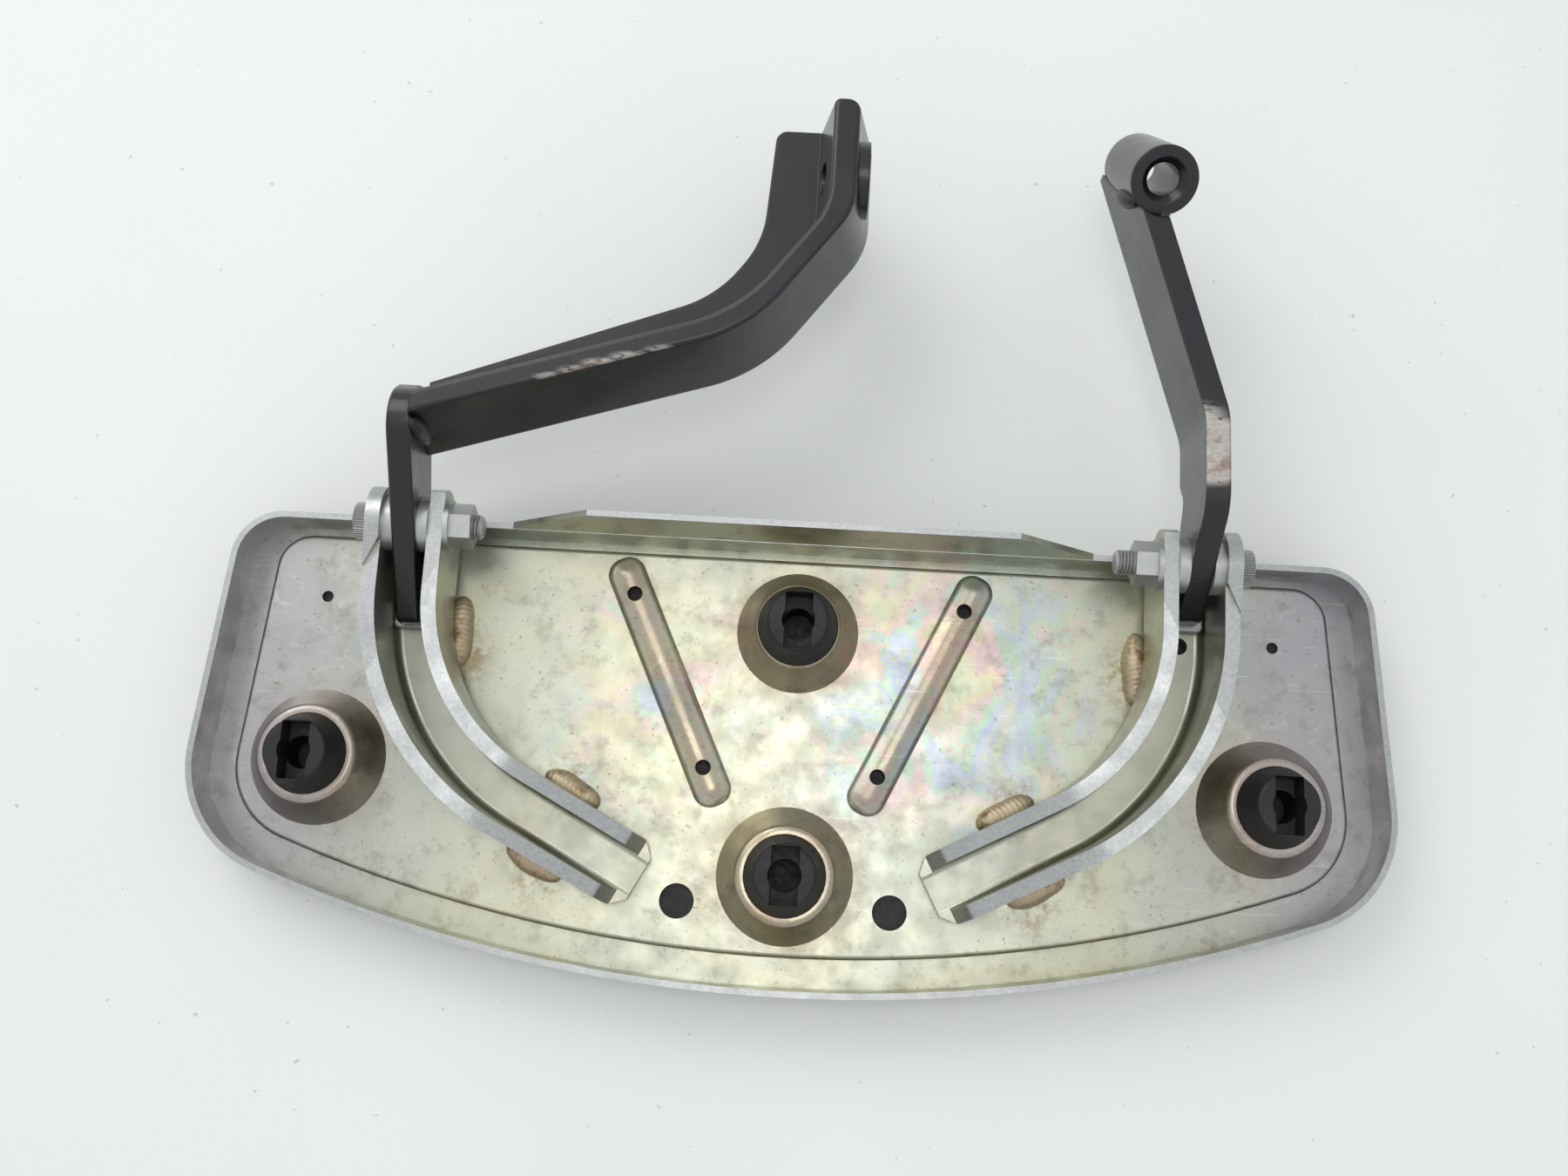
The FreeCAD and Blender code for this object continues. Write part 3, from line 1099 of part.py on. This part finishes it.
left_welds = channel_beads("left_channel_welds", "-", left_channel)
right_welds = channel_beads("right_channel_welds", "", right_channel)
root_x = "-chan_x + tang_thick / 2 + bead_round / 6"
root_y = "pivot_y + root_front - bead_round / 2"
root_bead = bead("RootBead", (root_x, root_y, TOP + " - strap_high + 2 * bead_round"),
                 ("0.001", "0", "1"), "strap_high - 3.5 * bead_round", "bead_round")
left_arm_weld = welded("left_arm_weld", root_bead, [left_tang, left_strap])
tube_way = ("sin(tube_lean) * sin(tube_tilt)", "-cos(tube_lean) * sin(tube_tilt)", "cos(tube_tilt)")
tube_beads = []
for name, spot in (("SeamInner", "seam_inner"), ("SeamOuter", "seam_outer")):
    start = [f"{middle} - tube_long / 4 * {way}"
             for middle, way in zip((spot + "_x", spot + "_y", TUBE), tube_way)]
    tube_beads += bead(name, start, tube_way, "tube_long / 2", "bead_round")
right_arm_weld = welded("right_arm_weld", tube_beads, [right_bar, tube])

doc.recompute()
NODES = [pan, rubber, left_channel, right_channel, left_welds, right_welds, left_stop, right_stop,
         left_bolt, right_bolt, left_nut, right_nut, left_washers, right_washers,
         left_tang, left_strap, left_arm_weld, right_bar, tube, right_arm_weld]
broken = []
for obj in doc.Objects:
    if [word for word in obj.State if word in ("Invalid", "Error")]:
        broken.append(f"{obj.Name}: {obj.getStatusString()}")
for node in NODES:
    if node.Shape.isNull() or not node.Shape.isValid() or not node.Shape.Solids:
        broken.append(f"{node.Label}: no sound shape")
if broken:
    raise RuntimeError("; ".join(broken))
os.makedirs("parts", exist_ok=True)
for node in NODES:
    box = node.Shape.BoundBox
    print(node.Label, len(node.Shape.Solids), round(node.Shape.Volume),
          [round(v, 2) for v in (box.XMin, box.XMax, box.YMin, box.YMax, box.ZMin, box.ZMax)])
    node.Shape.exportStep(f"parts/{node.Label}.step")
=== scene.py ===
import math

import bpy
import numpy as np
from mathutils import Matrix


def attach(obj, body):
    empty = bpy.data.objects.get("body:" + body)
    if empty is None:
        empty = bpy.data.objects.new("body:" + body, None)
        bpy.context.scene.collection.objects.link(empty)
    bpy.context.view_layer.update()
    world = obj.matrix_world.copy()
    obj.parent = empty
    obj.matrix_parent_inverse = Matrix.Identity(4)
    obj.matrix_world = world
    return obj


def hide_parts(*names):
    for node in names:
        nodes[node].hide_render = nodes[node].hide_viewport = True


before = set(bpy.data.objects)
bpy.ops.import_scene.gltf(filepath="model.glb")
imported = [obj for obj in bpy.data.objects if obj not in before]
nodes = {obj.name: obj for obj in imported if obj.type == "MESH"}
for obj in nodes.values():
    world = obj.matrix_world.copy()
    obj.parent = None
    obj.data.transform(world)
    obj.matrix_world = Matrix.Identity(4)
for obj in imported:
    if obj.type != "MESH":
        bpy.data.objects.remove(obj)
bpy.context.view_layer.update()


def linear(text):
    """Linear colour of an sRGB hex string."""
    parts = [int(text[i:i + 2], 16) / 255 for i in (1, 3, 5)]
    return [p / 12.92 if p <= 0.04045 else ((p + 0.055) / 1.055) ** 2.4 for p in parts] + [1.0]


def add(tree, kind, inputs=None, **settings):
    """New node; an input value may be another node's output socket."""
    node = tree.nodes.new(kind)
    for key, value in settings.items():
        setattr(node, key, value)
    for key, value in (inputs or {}).items():
        if isinstance(value, bpy.types.NodeSocket):
            tree.links.new(value, node.inputs[key])
        else:
            node.inputs[key].default_value = value
    return node


def start_material(name):
    """Empty node material: its tree, shader and object-space position."""
    material = bpy.data.materials.new(name)
    material.use_nodes = True
    tree = material.node_tree
    shader = tree.nodes["Principled BSDF"]
    place = add(tree, "ShaderNodeTexCoord").outputs["Object"]
    return material, tree, shader, place


def noise(tree, place, scale, detail=4.0, rough=0.55, distortion=0.0):
    """Noise value of that scale per metre."""
    made = add(tree, "ShaderNodeTexNoise", {"Vector": place, "Scale": scale, "Detail": detail,
                                            "Roughness": rough, "Distortion": distortion})
    return made.outputs["Fac"]


def span(tree, value, low, high, to_low=0.0, to_high=1.0):
    """Smooth step of a value between two limits."""
    made = add(tree, "ShaderNodeMapRange", {"Value": value, "From Min": low, "From Max": high,
                                            "To Min": to_low, "To Max": to_high},
               interpolation_type="SMOOTHSTEP")
    return made.outputs["Result"]


def math_of(tree, kind, first, second=0.0):
    """Result of one arithmetic node."""
    made = add(tree, "ShaderNodeMath", {0: first, 1: second}, operation=kind)
    return made.outputs[0]


def mix(tree, factor, first, second, blend="MIX"):
    """Colour mix; colours are hex strings or sockets."""
    made = add(tree, "ShaderNodeMix", {"Factor": factor}, data_type="RGBA", blend_type=blend)
    for key, value in ((6, first), (7, second)):
        if isinstance(value, str):
            made.inputs[key].default_value = linear(value)
        else:
            tree.links.new(value, made.inputs[key])
    return made.outputs[2]


def near(tree, place, centre, inner, outer, stretch=(1.0, 1.0, 1.0)):
    """One inside a soft ball round a point, nought outside it."""
    scaled = add(tree, "ShaderNodeVectorMath", {0: place, 1: stretch}, operation="MULTIPLY").outputs[0]
    point = [c * s for c, s in zip(centre, stretch)]
    away = add(tree, "ShaderNodeVectorMath", {0: scaled, 1: point}, operation="DISTANCE").outputs["Value"]
    return span(tree, away, inner, outer, 1.0, 0.0)


def bump(tree, height, distance, strength=1.0, under=None):
    """Relief of that height in metres, laid over another normal if one is given."""
    inputs = {"Height": height, "Distance": distance, "Strength": strength}
    if under is not None:
        inputs["Normal"] = under
    return add(tree, "ShaderNodeBump", inputs).outputs["Normal"]


def axes_of(tree, vector):
    """The x, y and z outputs of a vector."""
    return add(tree, "ShaderNodeSeparateXYZ", {"Vector": vector}).outputs


def rib_tint(tree, place):
    """One along the crowns of the two diagonal ribs, fading to nought at their edges."""
    found = 0.0
    for sign in (-1, 1):
        lean = math.radians(64.8)
        middle = (sign * 0.0423, 0.0230 - 0.06842)
        turn = lean if sign > 0 else math.pi - lean
        moved = add(tree, "ShaderNodeVectorMath", {0: place, 1: (middle[0], middle[1], 0.0)},
                    operation="SUBTRACT").outputs[0]
        turned = add(tree, "ShaderNodeVectorRotate", {"Vector": moved, "Angle": -turn},
                     rotation_type="Z_AXIS").outputs[0]
        along, across, _ = axes_of(tree, turned)
        past_end = math_of(tree, "SUBTRACT", math_of(tree, "ABSOLUTE", along), 0.0385)
        over = math_of(tree, "MAXIMUM", past_end, 0.0)
        away = math_of(tree, "SQRT", math_of(tree, "ADD", math_of(tree, "POWER", over, 2.0),
                                             math_of(tree, "POWER", across, 2.0)))
        found = math_of(tree, "MAXIMUM", found, span(tree, away, 0.0005, 0.0062, 0.8, 0.0))
    return found


# ---- Chromate-plated sheet: the pan and both channels.
# Thin yellow passivation that drifts from greenish grey to gold, with oily
# rainbow patches, brown tints by the pressed features and pale worn edges.
def chromate(name, darker):
    material, tree, shader, place = start_material(name)
    x, _, z = axes_of(tree, place)
    facing = add(tree, "ShaderNodeTexCoord").outputs["Normal"]
    up = axes_of(tree, facing)[2]
    drift = noise(tree, place, 9.0, 3.0, 0.5, 0.6)
    tint = add(tree, "ShaderNodeValToRGB", {"Fac": drift})
    ramp = tint.color_ramp
    stops = ((0.30, "#ABAFA4"), (0.42, "#BABDAD"), (0.50, "#C1C0A9"), (0.58, "#B8BBAB"), (0.70, "#A4A9A3"))
    while len(ramp.elements) < len(stops):
        ramp.elements.new(0.5)
    for element, (spot, colour) in zip(ramp.elements, stops):
        element.position = spot
        element.color = linear(colour)
    colour = tint.outputs["Color"]
    # oily rainbow, strongest between the ribs and on the right
    film = noise(tree, place, 22.0, 5.0, 0.6, 1.4)
    oil = add(tree, "ShaderNodeValToRGB", {"Fac": film})
    bands = ((0.36, "#B2BFA6"), (0.44, "#C9BE9C"), (0.49, "#CDA9B4"), (0.53, "#A3C0A4"), (0.58, "#A6AFCB"),
             (0.66, "#B9BDAA"))
    while len(oil.color_ramp.elements) < len(bands):
        oil.color_ramp.elements.new(0.5)
    for element, (spot, band) in zip(oil.color_ramp.elements, bands):
        element.position = spot
        element.color = linear(band)
    where = math_of(tree, "MAXIMUM", near(tree, place, (0.052, -0.045, 0.011), 0.015, 0.075),
                    near(tree, place, (-0.045, -0.05, 0.011), 0.01, 0.06))
    where = math_of(tree, "MULTIPLY", where, span(tree, noise(tree, place, 35.0), 0.38, 0.62, 0.25, 0.85))
    colour = mix(tree, where, colour, oil.outputs["Color"])
    # brown tint around bosses and along ribs
    brown = rib_tint(tree, place)
    for centre, reach in (((-0.157, -0.077, 0.02), 0.034), ((0.157, -0.077, 0.02), 0.034),
                          ((0.0, -0.027, 0.02), 0.032), ((0.0, -0.108, 0.02), 0.034)):
        brown = math_of(tree, "MAXIMUM", brown, near(tree, place, centre, 0.4 * reach, reach))
    uneven = span(tree, noise(tree, place, 60.0, 4.0), 0.35, 0.65, 0.55, 0.95)
    brown = math_of(tree, "MULTIPLY", brown, uneven)
    colour = mix(tree, brown, colour, "#AC9880")
    # rust and flux stains by the weld beads
    burnt = 0.0
    for centre in ((-0.112, -0.040, 0.011), (-0.0735, -0.083, 0.011), (-0.081, -0.110, 0.011),
                   (0.112, -0.036, 0.011), (0.0735, -0.083, 0.011), (0.081, -0.110, 0.011)):
        burnt = math_of(tree, "MAXIMUM", burnt, near(tree, place, centre, 0.002, 0.014, (1.0, 0.8, 0.5)))
    ragged = span(tree, noise(tree, place, 230.0, 5.0, 0.7), 0.42, 0.62, 0.0, 0.75)
    colour = mix(tree, math_of(tree, "MULTIPLY", burnt, ragged), colour, "#8A6C42")
    # purplish cast towards the two ends
    ends = span(tree, math_of(tree, "ABSOLUTE", x), 0.105, 0.190, 0.0, 0.75)
    colour = mix(tree, ends, colour, "#A9A5AC")
    # mottled stains, water marks and specks
    stain = span(tree, noise(tree, place, 130.0, 6.0, 0.65), 0.50, 0.70, 0.0, 0.5)
    colour = mix(tree, stain, colour, "#8B897C")
    pale = span(tree, noise(tree, place, 75.0, 5.0, 0.7, 2.0), 0.56, 0.70, 0.0, 0.35)
    colour = mix(tree, pale, colour, "#D3D2C4")
    speck = span(tree, noise(tree, place, 700.0, 2.0), 0.66, 0.72, 0.0, 0.5)
    colour = mix(tree, speck, colour, "#6F6753")
    # fine scratches in two directions
    scratch = 0.0
    for turn, stretch in ((0.5, (40.0, 900.0, 200.0)), (-0.9, (30.0, 1100.0, 200.0))):
        turned = add(tree, "ShaderNodeMapping", {"Vector": place, "Rotation": (0, 0, turn), "Scale": stretch})
        line = span(tree, noise(tree, turned.outputs[0], 1.0, 2.0), 0.68, 0.73)
        scratch = math_of(tree, "MAXIMUM", scratch, line)
    patchy = span(tree, noise(tree, place, 18.0), 0.45, 0.62)
    scratch = math_of(tree, "MULTIPLY", scratch, patchy)
    colour = mix(tree, math_of(tree, "MULTIPLY", scratch, 0.35), colour, "#E4E3D8")
    if darker:
        colour = mix(tree, 0.55, colour, "#A8A89A")
        # sheared edges along the flanges and ears, left bright
        edge = math_of(tree, "MULTIPLY", span(tree, up, 0.10, 0.35), span(tree, z, 0.0168, 0.0178))
    else:
        edge = math_of(tree, "MULTIPLY", span(tree, up, 0.80, 0.95),
                       math_of(tree, "MULTIPLY", span(tree, z, 0.0222, 0.0228),
                               span(tree, z, 0.0236, 0.0240, 1.0, 0.0)))
        edge = math_of(tree, "MAXIMUM", edge, span(tree, z, 0.0352, 0.0358))
    grain = add(tree, "ShaderNodeMapping", {"Vector": place, "Scale": (900.0, 900.0, 60.0)}).outputs[0]
    colour = mix(tree, math_of(tree, "MULTIPLY", edge, 0.92), colour,
                 mix(tree, noise(tree, grain, 1.0, 5.0, 0.7), "#85888A", "#CFD1D0"))
    tree.links.new(colour, shader.inputs["Base Color"])
    rough = span(tree, noise(tree, place, 90.0, 5.0), 0.3, 0.7, 0.27, 0.42)
    tree.links.new(rough, shader.inputs["Roughness"])
    shader.inputs["Metallic"].default_value = 0.92
    first = bump(tree, noise(tree, place, 1600.0, 3.0), 0.00003, 0.5)
    second = bump(tree, noise(tree, place, 25.0, 2.0), 0.0003, 0.15, first)
    crown = bump(tree, rib_tint(tree, place), 0.0022, 0.8, second)
    second = second if darker else crown
    tree.links.new(bump(tree, scratch, 0.00002, 0.4, second), shader.inputs["Normal"])
    return material


# ---- Zinc-plated hardware: bolts, nuts, washers and stop pads.
# Dull silver-grey zinc with a light bloom; the bolt heads are knurled and
# the bolt ends are threaded, both as relief round the hinge axis, with painted shade in the groove bottoms.
def zinc(name, relief):
    material, tree, shader, place = start_material(name)
    x, y, z = axes_of(tree, place)
    bloom = noise(tree, place, 260.0, 5.0, 0.65)
    colour = mix(tree, bloom, "#A1A3A5", "#CDCECC")
    rust = span(tree, noise(tree, place, 180.0, 4.0), 0.62, 0.76, 0.0, 0.25)
    colour = mix(tree, rust, colour, "#8B7350")
    normal = bump(tree, noise(tree, place, 2200.0, 3.0), 0.00003, 0.6)
    if relief:
        side = math_of(tree, "SUBTRACT", y, -0.00242)
        rise = math_of(tree, "SUBTRACT", z, 0.0375)
        angle = math_of(tree, "ARCTAN2", rise, side)
        out = math_of(tree, "SQRT", math_of(tree, "ADD", math_of(tree, "POWER", side, 2.0),
                                            math_of(tree, "POWER", rise, 2.0)))
        knurl = math_of(tree, "SINE", math_of(tree, "MULTIPLY", angle, 46.0))
        on_head = math_of(tree, "MULTIPLY", span(tree, out, 0.0058, 0.0060),
                          span(tree, math_of(tree, "ABSOLUTE", x), 0.1394, 0.1397))
        thread = math_of(tree, "SINE", math_of(tree, "ADD", math_of(tree, "MULTIPLY", x, 5700.0), angle))
        on_end = math_of(tree, "MULTIPLY", span(tree, out, 0.0038, 0.0039),
                         span(tree, math_of(tree, "ABSOLUTE", x), 0.1070, 0.1072, 1.0, 0.0))
        shape = math_of(tree, "ADD", math_of(tree, "MULTIPLY", knurl, on_head),
                        math_of(tree, "MULTIPLY", thread, on_end))
        normal = bump(tree, shape, 0.00035, 1.0, normal)
        # painted shade: the bottoms of the knurl grooves and thread roots are coloured darker
        painted_groove_shade = math_of(tree, "MULTIPLY", span(tree, shape, -1.0, 0.0, 0.55, 0.0),
                       math_of(tree, "MAXIMUM", on_head, on_end))
        colour = mix(tree, painted_groove_shade, colour, "#3C3A38")
    tree.links.new(colour, shader.inputs["Base Color"])
    tree.links.new(span(tree, bloom, 0.2, 0.8, 0.32, 0.55), shader.inputs["Roughness"])
    shader.inputs["Metallic"].default_value = 0.85
    tree.links.new(normal, shader.inputs["Normal"])
    return material


# ---- Black enamel: both frame arms.
# Glossy black with a faint purple-blue cast and orange peel; bare scuffed
# metal with some rust where each arm has been clamped or dragged.
def enamel(name, scuffs):
    material, tree, shader, place = start_material(name)
    facing = add(tree, "ShaderNodeTexCoord").outputs["Normal"]
    up = axes_of(tree, facing)[2]
    colour = mix(tree, noise(tree, place, 40.0, 4.0), "#09080E", "#110F1A")
    dust = span(tree, noise(tree, place, 320.0, 5.0, 0.7), 0.60, 0.80, 0.0, 0.10)
    colour = mix(tree, dust, colour, "#55555C")
    bare = 0.0
    for centre, inner, outer, stretch in scuffs:
        spot = near(tree, place, centre, inner, outer, stretch)
        bare = math_of(tree, "MAXIMUM", bare, spot)
    ragged = add(tree, "ShaderNodeMapping", {"Vector": place, "Scale": (260.0, 900.0, 260.0)}).outputs[0]
    torn = span(tree, noise(tree, ragged, 1.0, 5.0, 0.7), 0.36, 0.50)
    bare = math_of(tree, "MULTIPLY", bare, math_of(tree, "MAXIMUM", torn, span(tree, bare, 0.8, 1.0)))
    bare = math_of(tree, "MULTIPLY", bare, span(tree, up, 0.25, 0.6))
    streak = noise(tree, ragged, 1.6, 6.0, 0.75)
    metal = mix(tree, streak, "#77706A", "#E2DDD6")
    metal = mix(tree, span(tree, noise(tree, place, 150.0), 0.5, 0.66, 0.0, 0.6), metal, "#7E5A40")
    colour = mix(tree, bare, colour, metal)
    tree.links.new(colour, shader.inputs["Base Color"])
    tree.links.new(math_of(tree, "MULTIPLY", bare, 0.8), shader.inputs["Metallic"])
    shine = span(tree, noise(tree, place, 60.0, 4.0), 0.3, 0.7, 0.20, 0.32)
    tree.links.new(math_of(tree, "ADD", shine, math_of(tree, "MULTIPLY", bare, 0.25)),
                   shader.inputs["Roughness"])
    shader.inputs["Coat Weight"].default_value = 0.25
    shader.inputs["Coat Roughness"].default_value = 0.06
    soft = add(tree, "ShaderNodeBevel", {"Radius": 0.0011}, samples=6).outputs[0]
    peel = bump(tree, noise(tree, place, 420.0, 2.0), 0.00005, 0.22, soft)
    tree.links.new(bump(tree, streak, 0.0002, 0.4, peel), shader.inputs["Normal"])
    return material


# ---- Rubber: the tread pad and its four plugs.
# Matt black moulded rubber with dust caught in the grain and paler, dry
# bloom in scattered patches.
def rubber(name):
    material, tree, shader, place = start_material(name)
    grain = noise(tree, place, 500.0, 5.0, 0.7)
    colour = mix(tree, grain, "#0B0B0C", "#1C1C1E")
    bloom = span(tree, noise(tree, place, 110.0, 4.0), 0.54, 0.74, 0.0, 0.30)
    colour = mix(tree, bloom, colour, "#3C3C3A")
    tree.links.new(colour, shader.inputs["Base Color"])
    tree.links.new(span(tree, grain, 0.2, 0.8, 0.45, 0.70), shader.inputs["Roughness"])
    tree.links.new(bump(tree, grain, 0.00012, 0.6), shader.inputs["Normal"])
    return material


# ---- Weld metal: the beads that hold the channels, and the arms' own.
# Rippled drops of weld, straw-brown and sooty on the board, painted over
# on the arms.
def weld_skin(name, painted):
    material, tree, shader, place = start_material(name)
    scale = noise(tree, place, 420.0, 5.0, 0.7)
    if painted:
        colour = mix(tree, scale, "#100F14", "#34323A")
    else:
        colour = mix(tree, scale, "#A58F6C", "#D2C6AC")
        soot = span(tree, noise(tree, place, 160.0, 4.0), 0.54, 0.70, 0.0, 0.8)
        colour = mix(tree, soot, colour, "#7A5630")
        shader.inputs["Metallic"].default_value = 0.7
    tree.links.new(colour, shader.inputs["Base Color"])
    tree.links.new(span(tree, scale, 0.2, 0.8, 0.22 if painted else 0.35, 0.55), shader.inputs["Roughness"])
    tree.links.new(bump(tree, scale, 0.0003, 0.8), shader.inputs["Normal"])
    return material


def bead_mesh(name, runs, skin, body, node):
    """Rippled weld beads; each run is (start, end, radius) in metres."""
    points, faces = [], []
    for start, end, radius in runs:
        start, end = np.array(start), np.array(end)
        along = end - start
        size = float(np.linalg.norm(along))
        along = along / size
        side = np.cross(along, (0.31, 0.17, 0.93))
        side = side / np.linalg.norm(side)
        other = np.cross(along, side)
        rows, cols = 72, 36
        base = len(points)
        for i in range(rows + 1):
            t = i / rows
            end_soft = math.sqrt(max(1 - abs(2 * t - 1) ** 2.6, 0.0))
            for j in range(cols):
                turn = 2 * math.pi * j / cols
                arch = t * size / 0.0017 + 0.9 * math.cos(turn) ** 2
                ripple = 0.955 + 0.04 * abs(math.sin(math.pi * arch))
                lump = 1 + 0.05 * math.sin(9 * t + 1.3 * j / cols + start[0] * 400)
                reach = radius * end_soft * ripple * lump
                spot = start + along * t * size
                spot = spot + reach * (math.cos(turn) * side + math.sin(turn) * other)
                points.append(spot)
        for i in range(rows):
            for j in range(cols):
                k = (j + 1) % cols
                a, b = base + i * cols + j, base + i * cols + k
                faces.append((a, b, b + cols, a + cols))
    mesh = bpy.data.meshes.new(name)
    mesh.from_pydata([tuple(p) for p in points], [], faces)
    mesh.polygons.foreach_set("use_smooth", [True] * len(mesh.polygons))
    made = bpy.data.objects.new(name, mesh)
    bpy.context.scene.collection.objects.link(made)
    made.data.materials.append(skin)
    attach(made, body)
    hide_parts(node)
    return made


chromate_pan = chromate("chromate_pan", False)
chromate_channel = chromate("chromate_channel", True)
zinc_plain = zinc("zinc_plain", False)
zinc_bolt = zinc("zinc_bolt", True)
black_rubber = rubber("black_rubber")
raw_weld = weld_skin("raw_weld", False)
painted_weld = weld_skin("painted_weld", True)
left_scuffs = [
    ((-0.078, 0.0391, 0.0690), 0.0006, 0.0024, (0.25, 1.0, 1.0)),
    ((-0.070, 0.0416, 0.0690), 0.0008, 0.0027, (0.25, 1.0, 1.0)),
    ((-0.062, 0.0442, 0.0690), 0.0010, 0.0030, (0.25, 1.0, 1.0)),
    ((-0.054, 0.0469, 0.0690), 0.0008, 0.0028, (0.25, 1.0, 1.0)),
    ((-0.045, 0.0500, 0.0690), 0.0004, 0.0022, (0.25, 1.0, 1.0)),
]
right_scuffs = [
    ((0.1245, 0.029, 0.063), 0.0095, 0.0125, (0.6, 1.0, 0.4)),
    ((0.1225, 0.040, 0.063), 0.001, 0.006, (0.6, 1.0, 0.4)),
]
left_enamel = enamel("left_enamel", left_scuffs)
right_enamel = enamel("right_enamel", right_scuffs)

# ---- Frame nodes: each gets its finish, and shading that is smooth over
# rounds and crisp at real edges.
finishes = {
    "pan": chromate_pan, "rubber_pad": black_rubber,
    "left_channel": chromate_channel, "right_channel": chromate_channel,
    "left_stop_pad": zinc_plain, "right_stop_pad": zinc_plain,
    "left_pivot_bolt": zinc_bolt, "right_pivot_bolt": zinc_bolt,
    "left_pivot_nut": zinc_plain, "right_pivot_nut": zinc_plain,
    "left_thrust_washers": zinc_plain, "right_thrust_washers": zinc_plain,
    "left_arm_tang": left_enamel, "left_arm_strap": left_enamel,
    "right_arm_bar": right_enamel, "right_arm_tube": right_enamel,
}
for name, material in finishes.items():
    node = nodes[name]
    node.data.materials.clear()
    node.data.materials.append(material)
    node.data.polygons.foreach_set("use_smooth", [True] * len(node.data.polygons))
    node.data.set_sharp_from_angle(angle=math.radians(32))

# ---- Weld beads on the board: one by each ear foot, two along each
# channel's last straight, and the painted beads on the arms.
lean = math.radians(28)
for side, sign in (("left", -1), ("right", 1)):
    runs = []
    runs.append(((sign * 0.1140, -0.0455, 0.0113), (sign * 0.1140, -0.0205, 0.0113), 0.0047))
    for across, back in ((-0.0132, 0.0240), (0.0132, 0.0220)):
        first = np.array([0.0473 + back * math.cos(lean) + across * math.sin(lean),
                          -0.04290 - 0.06842 + back * math.sin(lean) - across * math.cos(lean)])
        last = first + 0.0210 * np.array([math.cos(lean), math.sin(lean)])
        runs.append(((sign * first[0], first[1], 0.0113), (sign * last[0], last[1], 0.0113), 0.0044))
    bead_mesh(side + "_channel_beads", runs, raw_weld, "board", side + "_channel_welds")
bead_mesh("left_arm_bead", [((-0.1232, 0.0237, 0.0440), (-0.1232, 0.0237, 0.0665), 0.0030)],
          painted_weld, "left_arm", "left_arm_weld")
lean, tilt = math.radians(9.0), math.radians(34.6)
tube_way = np.array([math.sin(lean) * math.sin(tilt), -math.cos(lean) * math.sin(tilt), math.cos(tilt)])
runs = []
for x_spot, y_spot in ((0.1008, 0.1860), (0.1106, 0.1814)):
    middle = np.array([x_spot, y_spot - 0.06842, 0.0516])
    runs.append((middle - 0.0092 * tube_way, middle + 0.0092 * tube_way, 0.0031))
bead_mesh("right_arm_beads", runs, painted_weld, "right_arm", "right_arm_weld")

# ---- Studio: pale floor, one soft light overhead and one behind the arms.
floor_mesh = bpy.data.meshes.new("floor")
floor_mesh.from_pydata([(-3, -3, 0), (3, -3, 0), (3, 3, 0), (-3, 3, 0)], [], [(0, 1, 2, 3)])
floor = bpy.data.objects.new("floor", floor_mesh)
bpy.context.scene.collection.objects.link(floor)
paper, tree, shader, place = start_material("paper")
shade = mix(tree, noise(tree, place, 5.0, 3.0), "#E3E6E3", "#EEF0EE")
speck = span(tree, noise(tree, place, 260.0, 2.0), 0.735, 0.76, 0.0, 0.5)
tree.links.new(mix(tree, speck, shade, "#9FA39F"), shader.inputs["Base Color"])
shader.inputs["Roughness"].default_value = 0.75
floor.data.materials.append(paper)
for name, spot, size, power in (("key", (0.0, 0.02, 1.5), 0.50, 2.2), ("back", (-0.7, 0.9, 1.1), 0.9, 6.5)):
    lamp = bpy.data.lights.new(name, "AREA")
    lamp.shape = "SQUARE"
    lamp.size = size
    lamp.energy = power
    holder = bpy.data.objects.new(name, lamp)
    bpy.context.scene.collection.objects.link(holder)
    holder.location = spot
    # a lamp shines along its own -Z, so it is tipped and turned to face the origin
    flat_reach = math.hypot(spot[0], spot[1])
    holder.rotation_euler = (math.atan2(flat_reach, spot[2]), 0.0, math.atan2(spot[0], -spot[1]))
world = bpy.data.worlds.new("room")
bpy.context.scene.world = world
world.use_nodes = True
tree = world.node_tree
height = axes_of(tree, add(tree, "ShaderNodeTexCoord").outputs["Generated"])[2]
overhead = span(tree, height, 0.86, 1.0, 0.0, 0.16)
glow = math_of(tree, "ADD", overhead, span(tree, height, 0.0, 0.8, 0.76, 0.84))
tree.nodes["Background"].inputs["Color"].default_value = linear("#F4F6F8")
tree.links.new(glow, tree.nodes["Background"].inputs["Strength"])

# ---- Camera: almost overhead, half a metre above the underside, tipped
# towards the arms and turned slightly.
camera_data = bpy.data.cameras.new("camera")
camera_data.lens = 34.0
camera_data.sensor_width = 36.0
camera = bpy.data.objects.new("camera", camera_data)
bpy.context.scene.collection.objects.link(camera)
camera.location = (0.0001, -0.1117, 0.5052)
camera.rotation_euler = (math.radians(11.47), 0.0, math.radians(3.2))
bpy.context.scene.camera = camera
bpy.context.scene.view_settings.view_transform = "Standard"
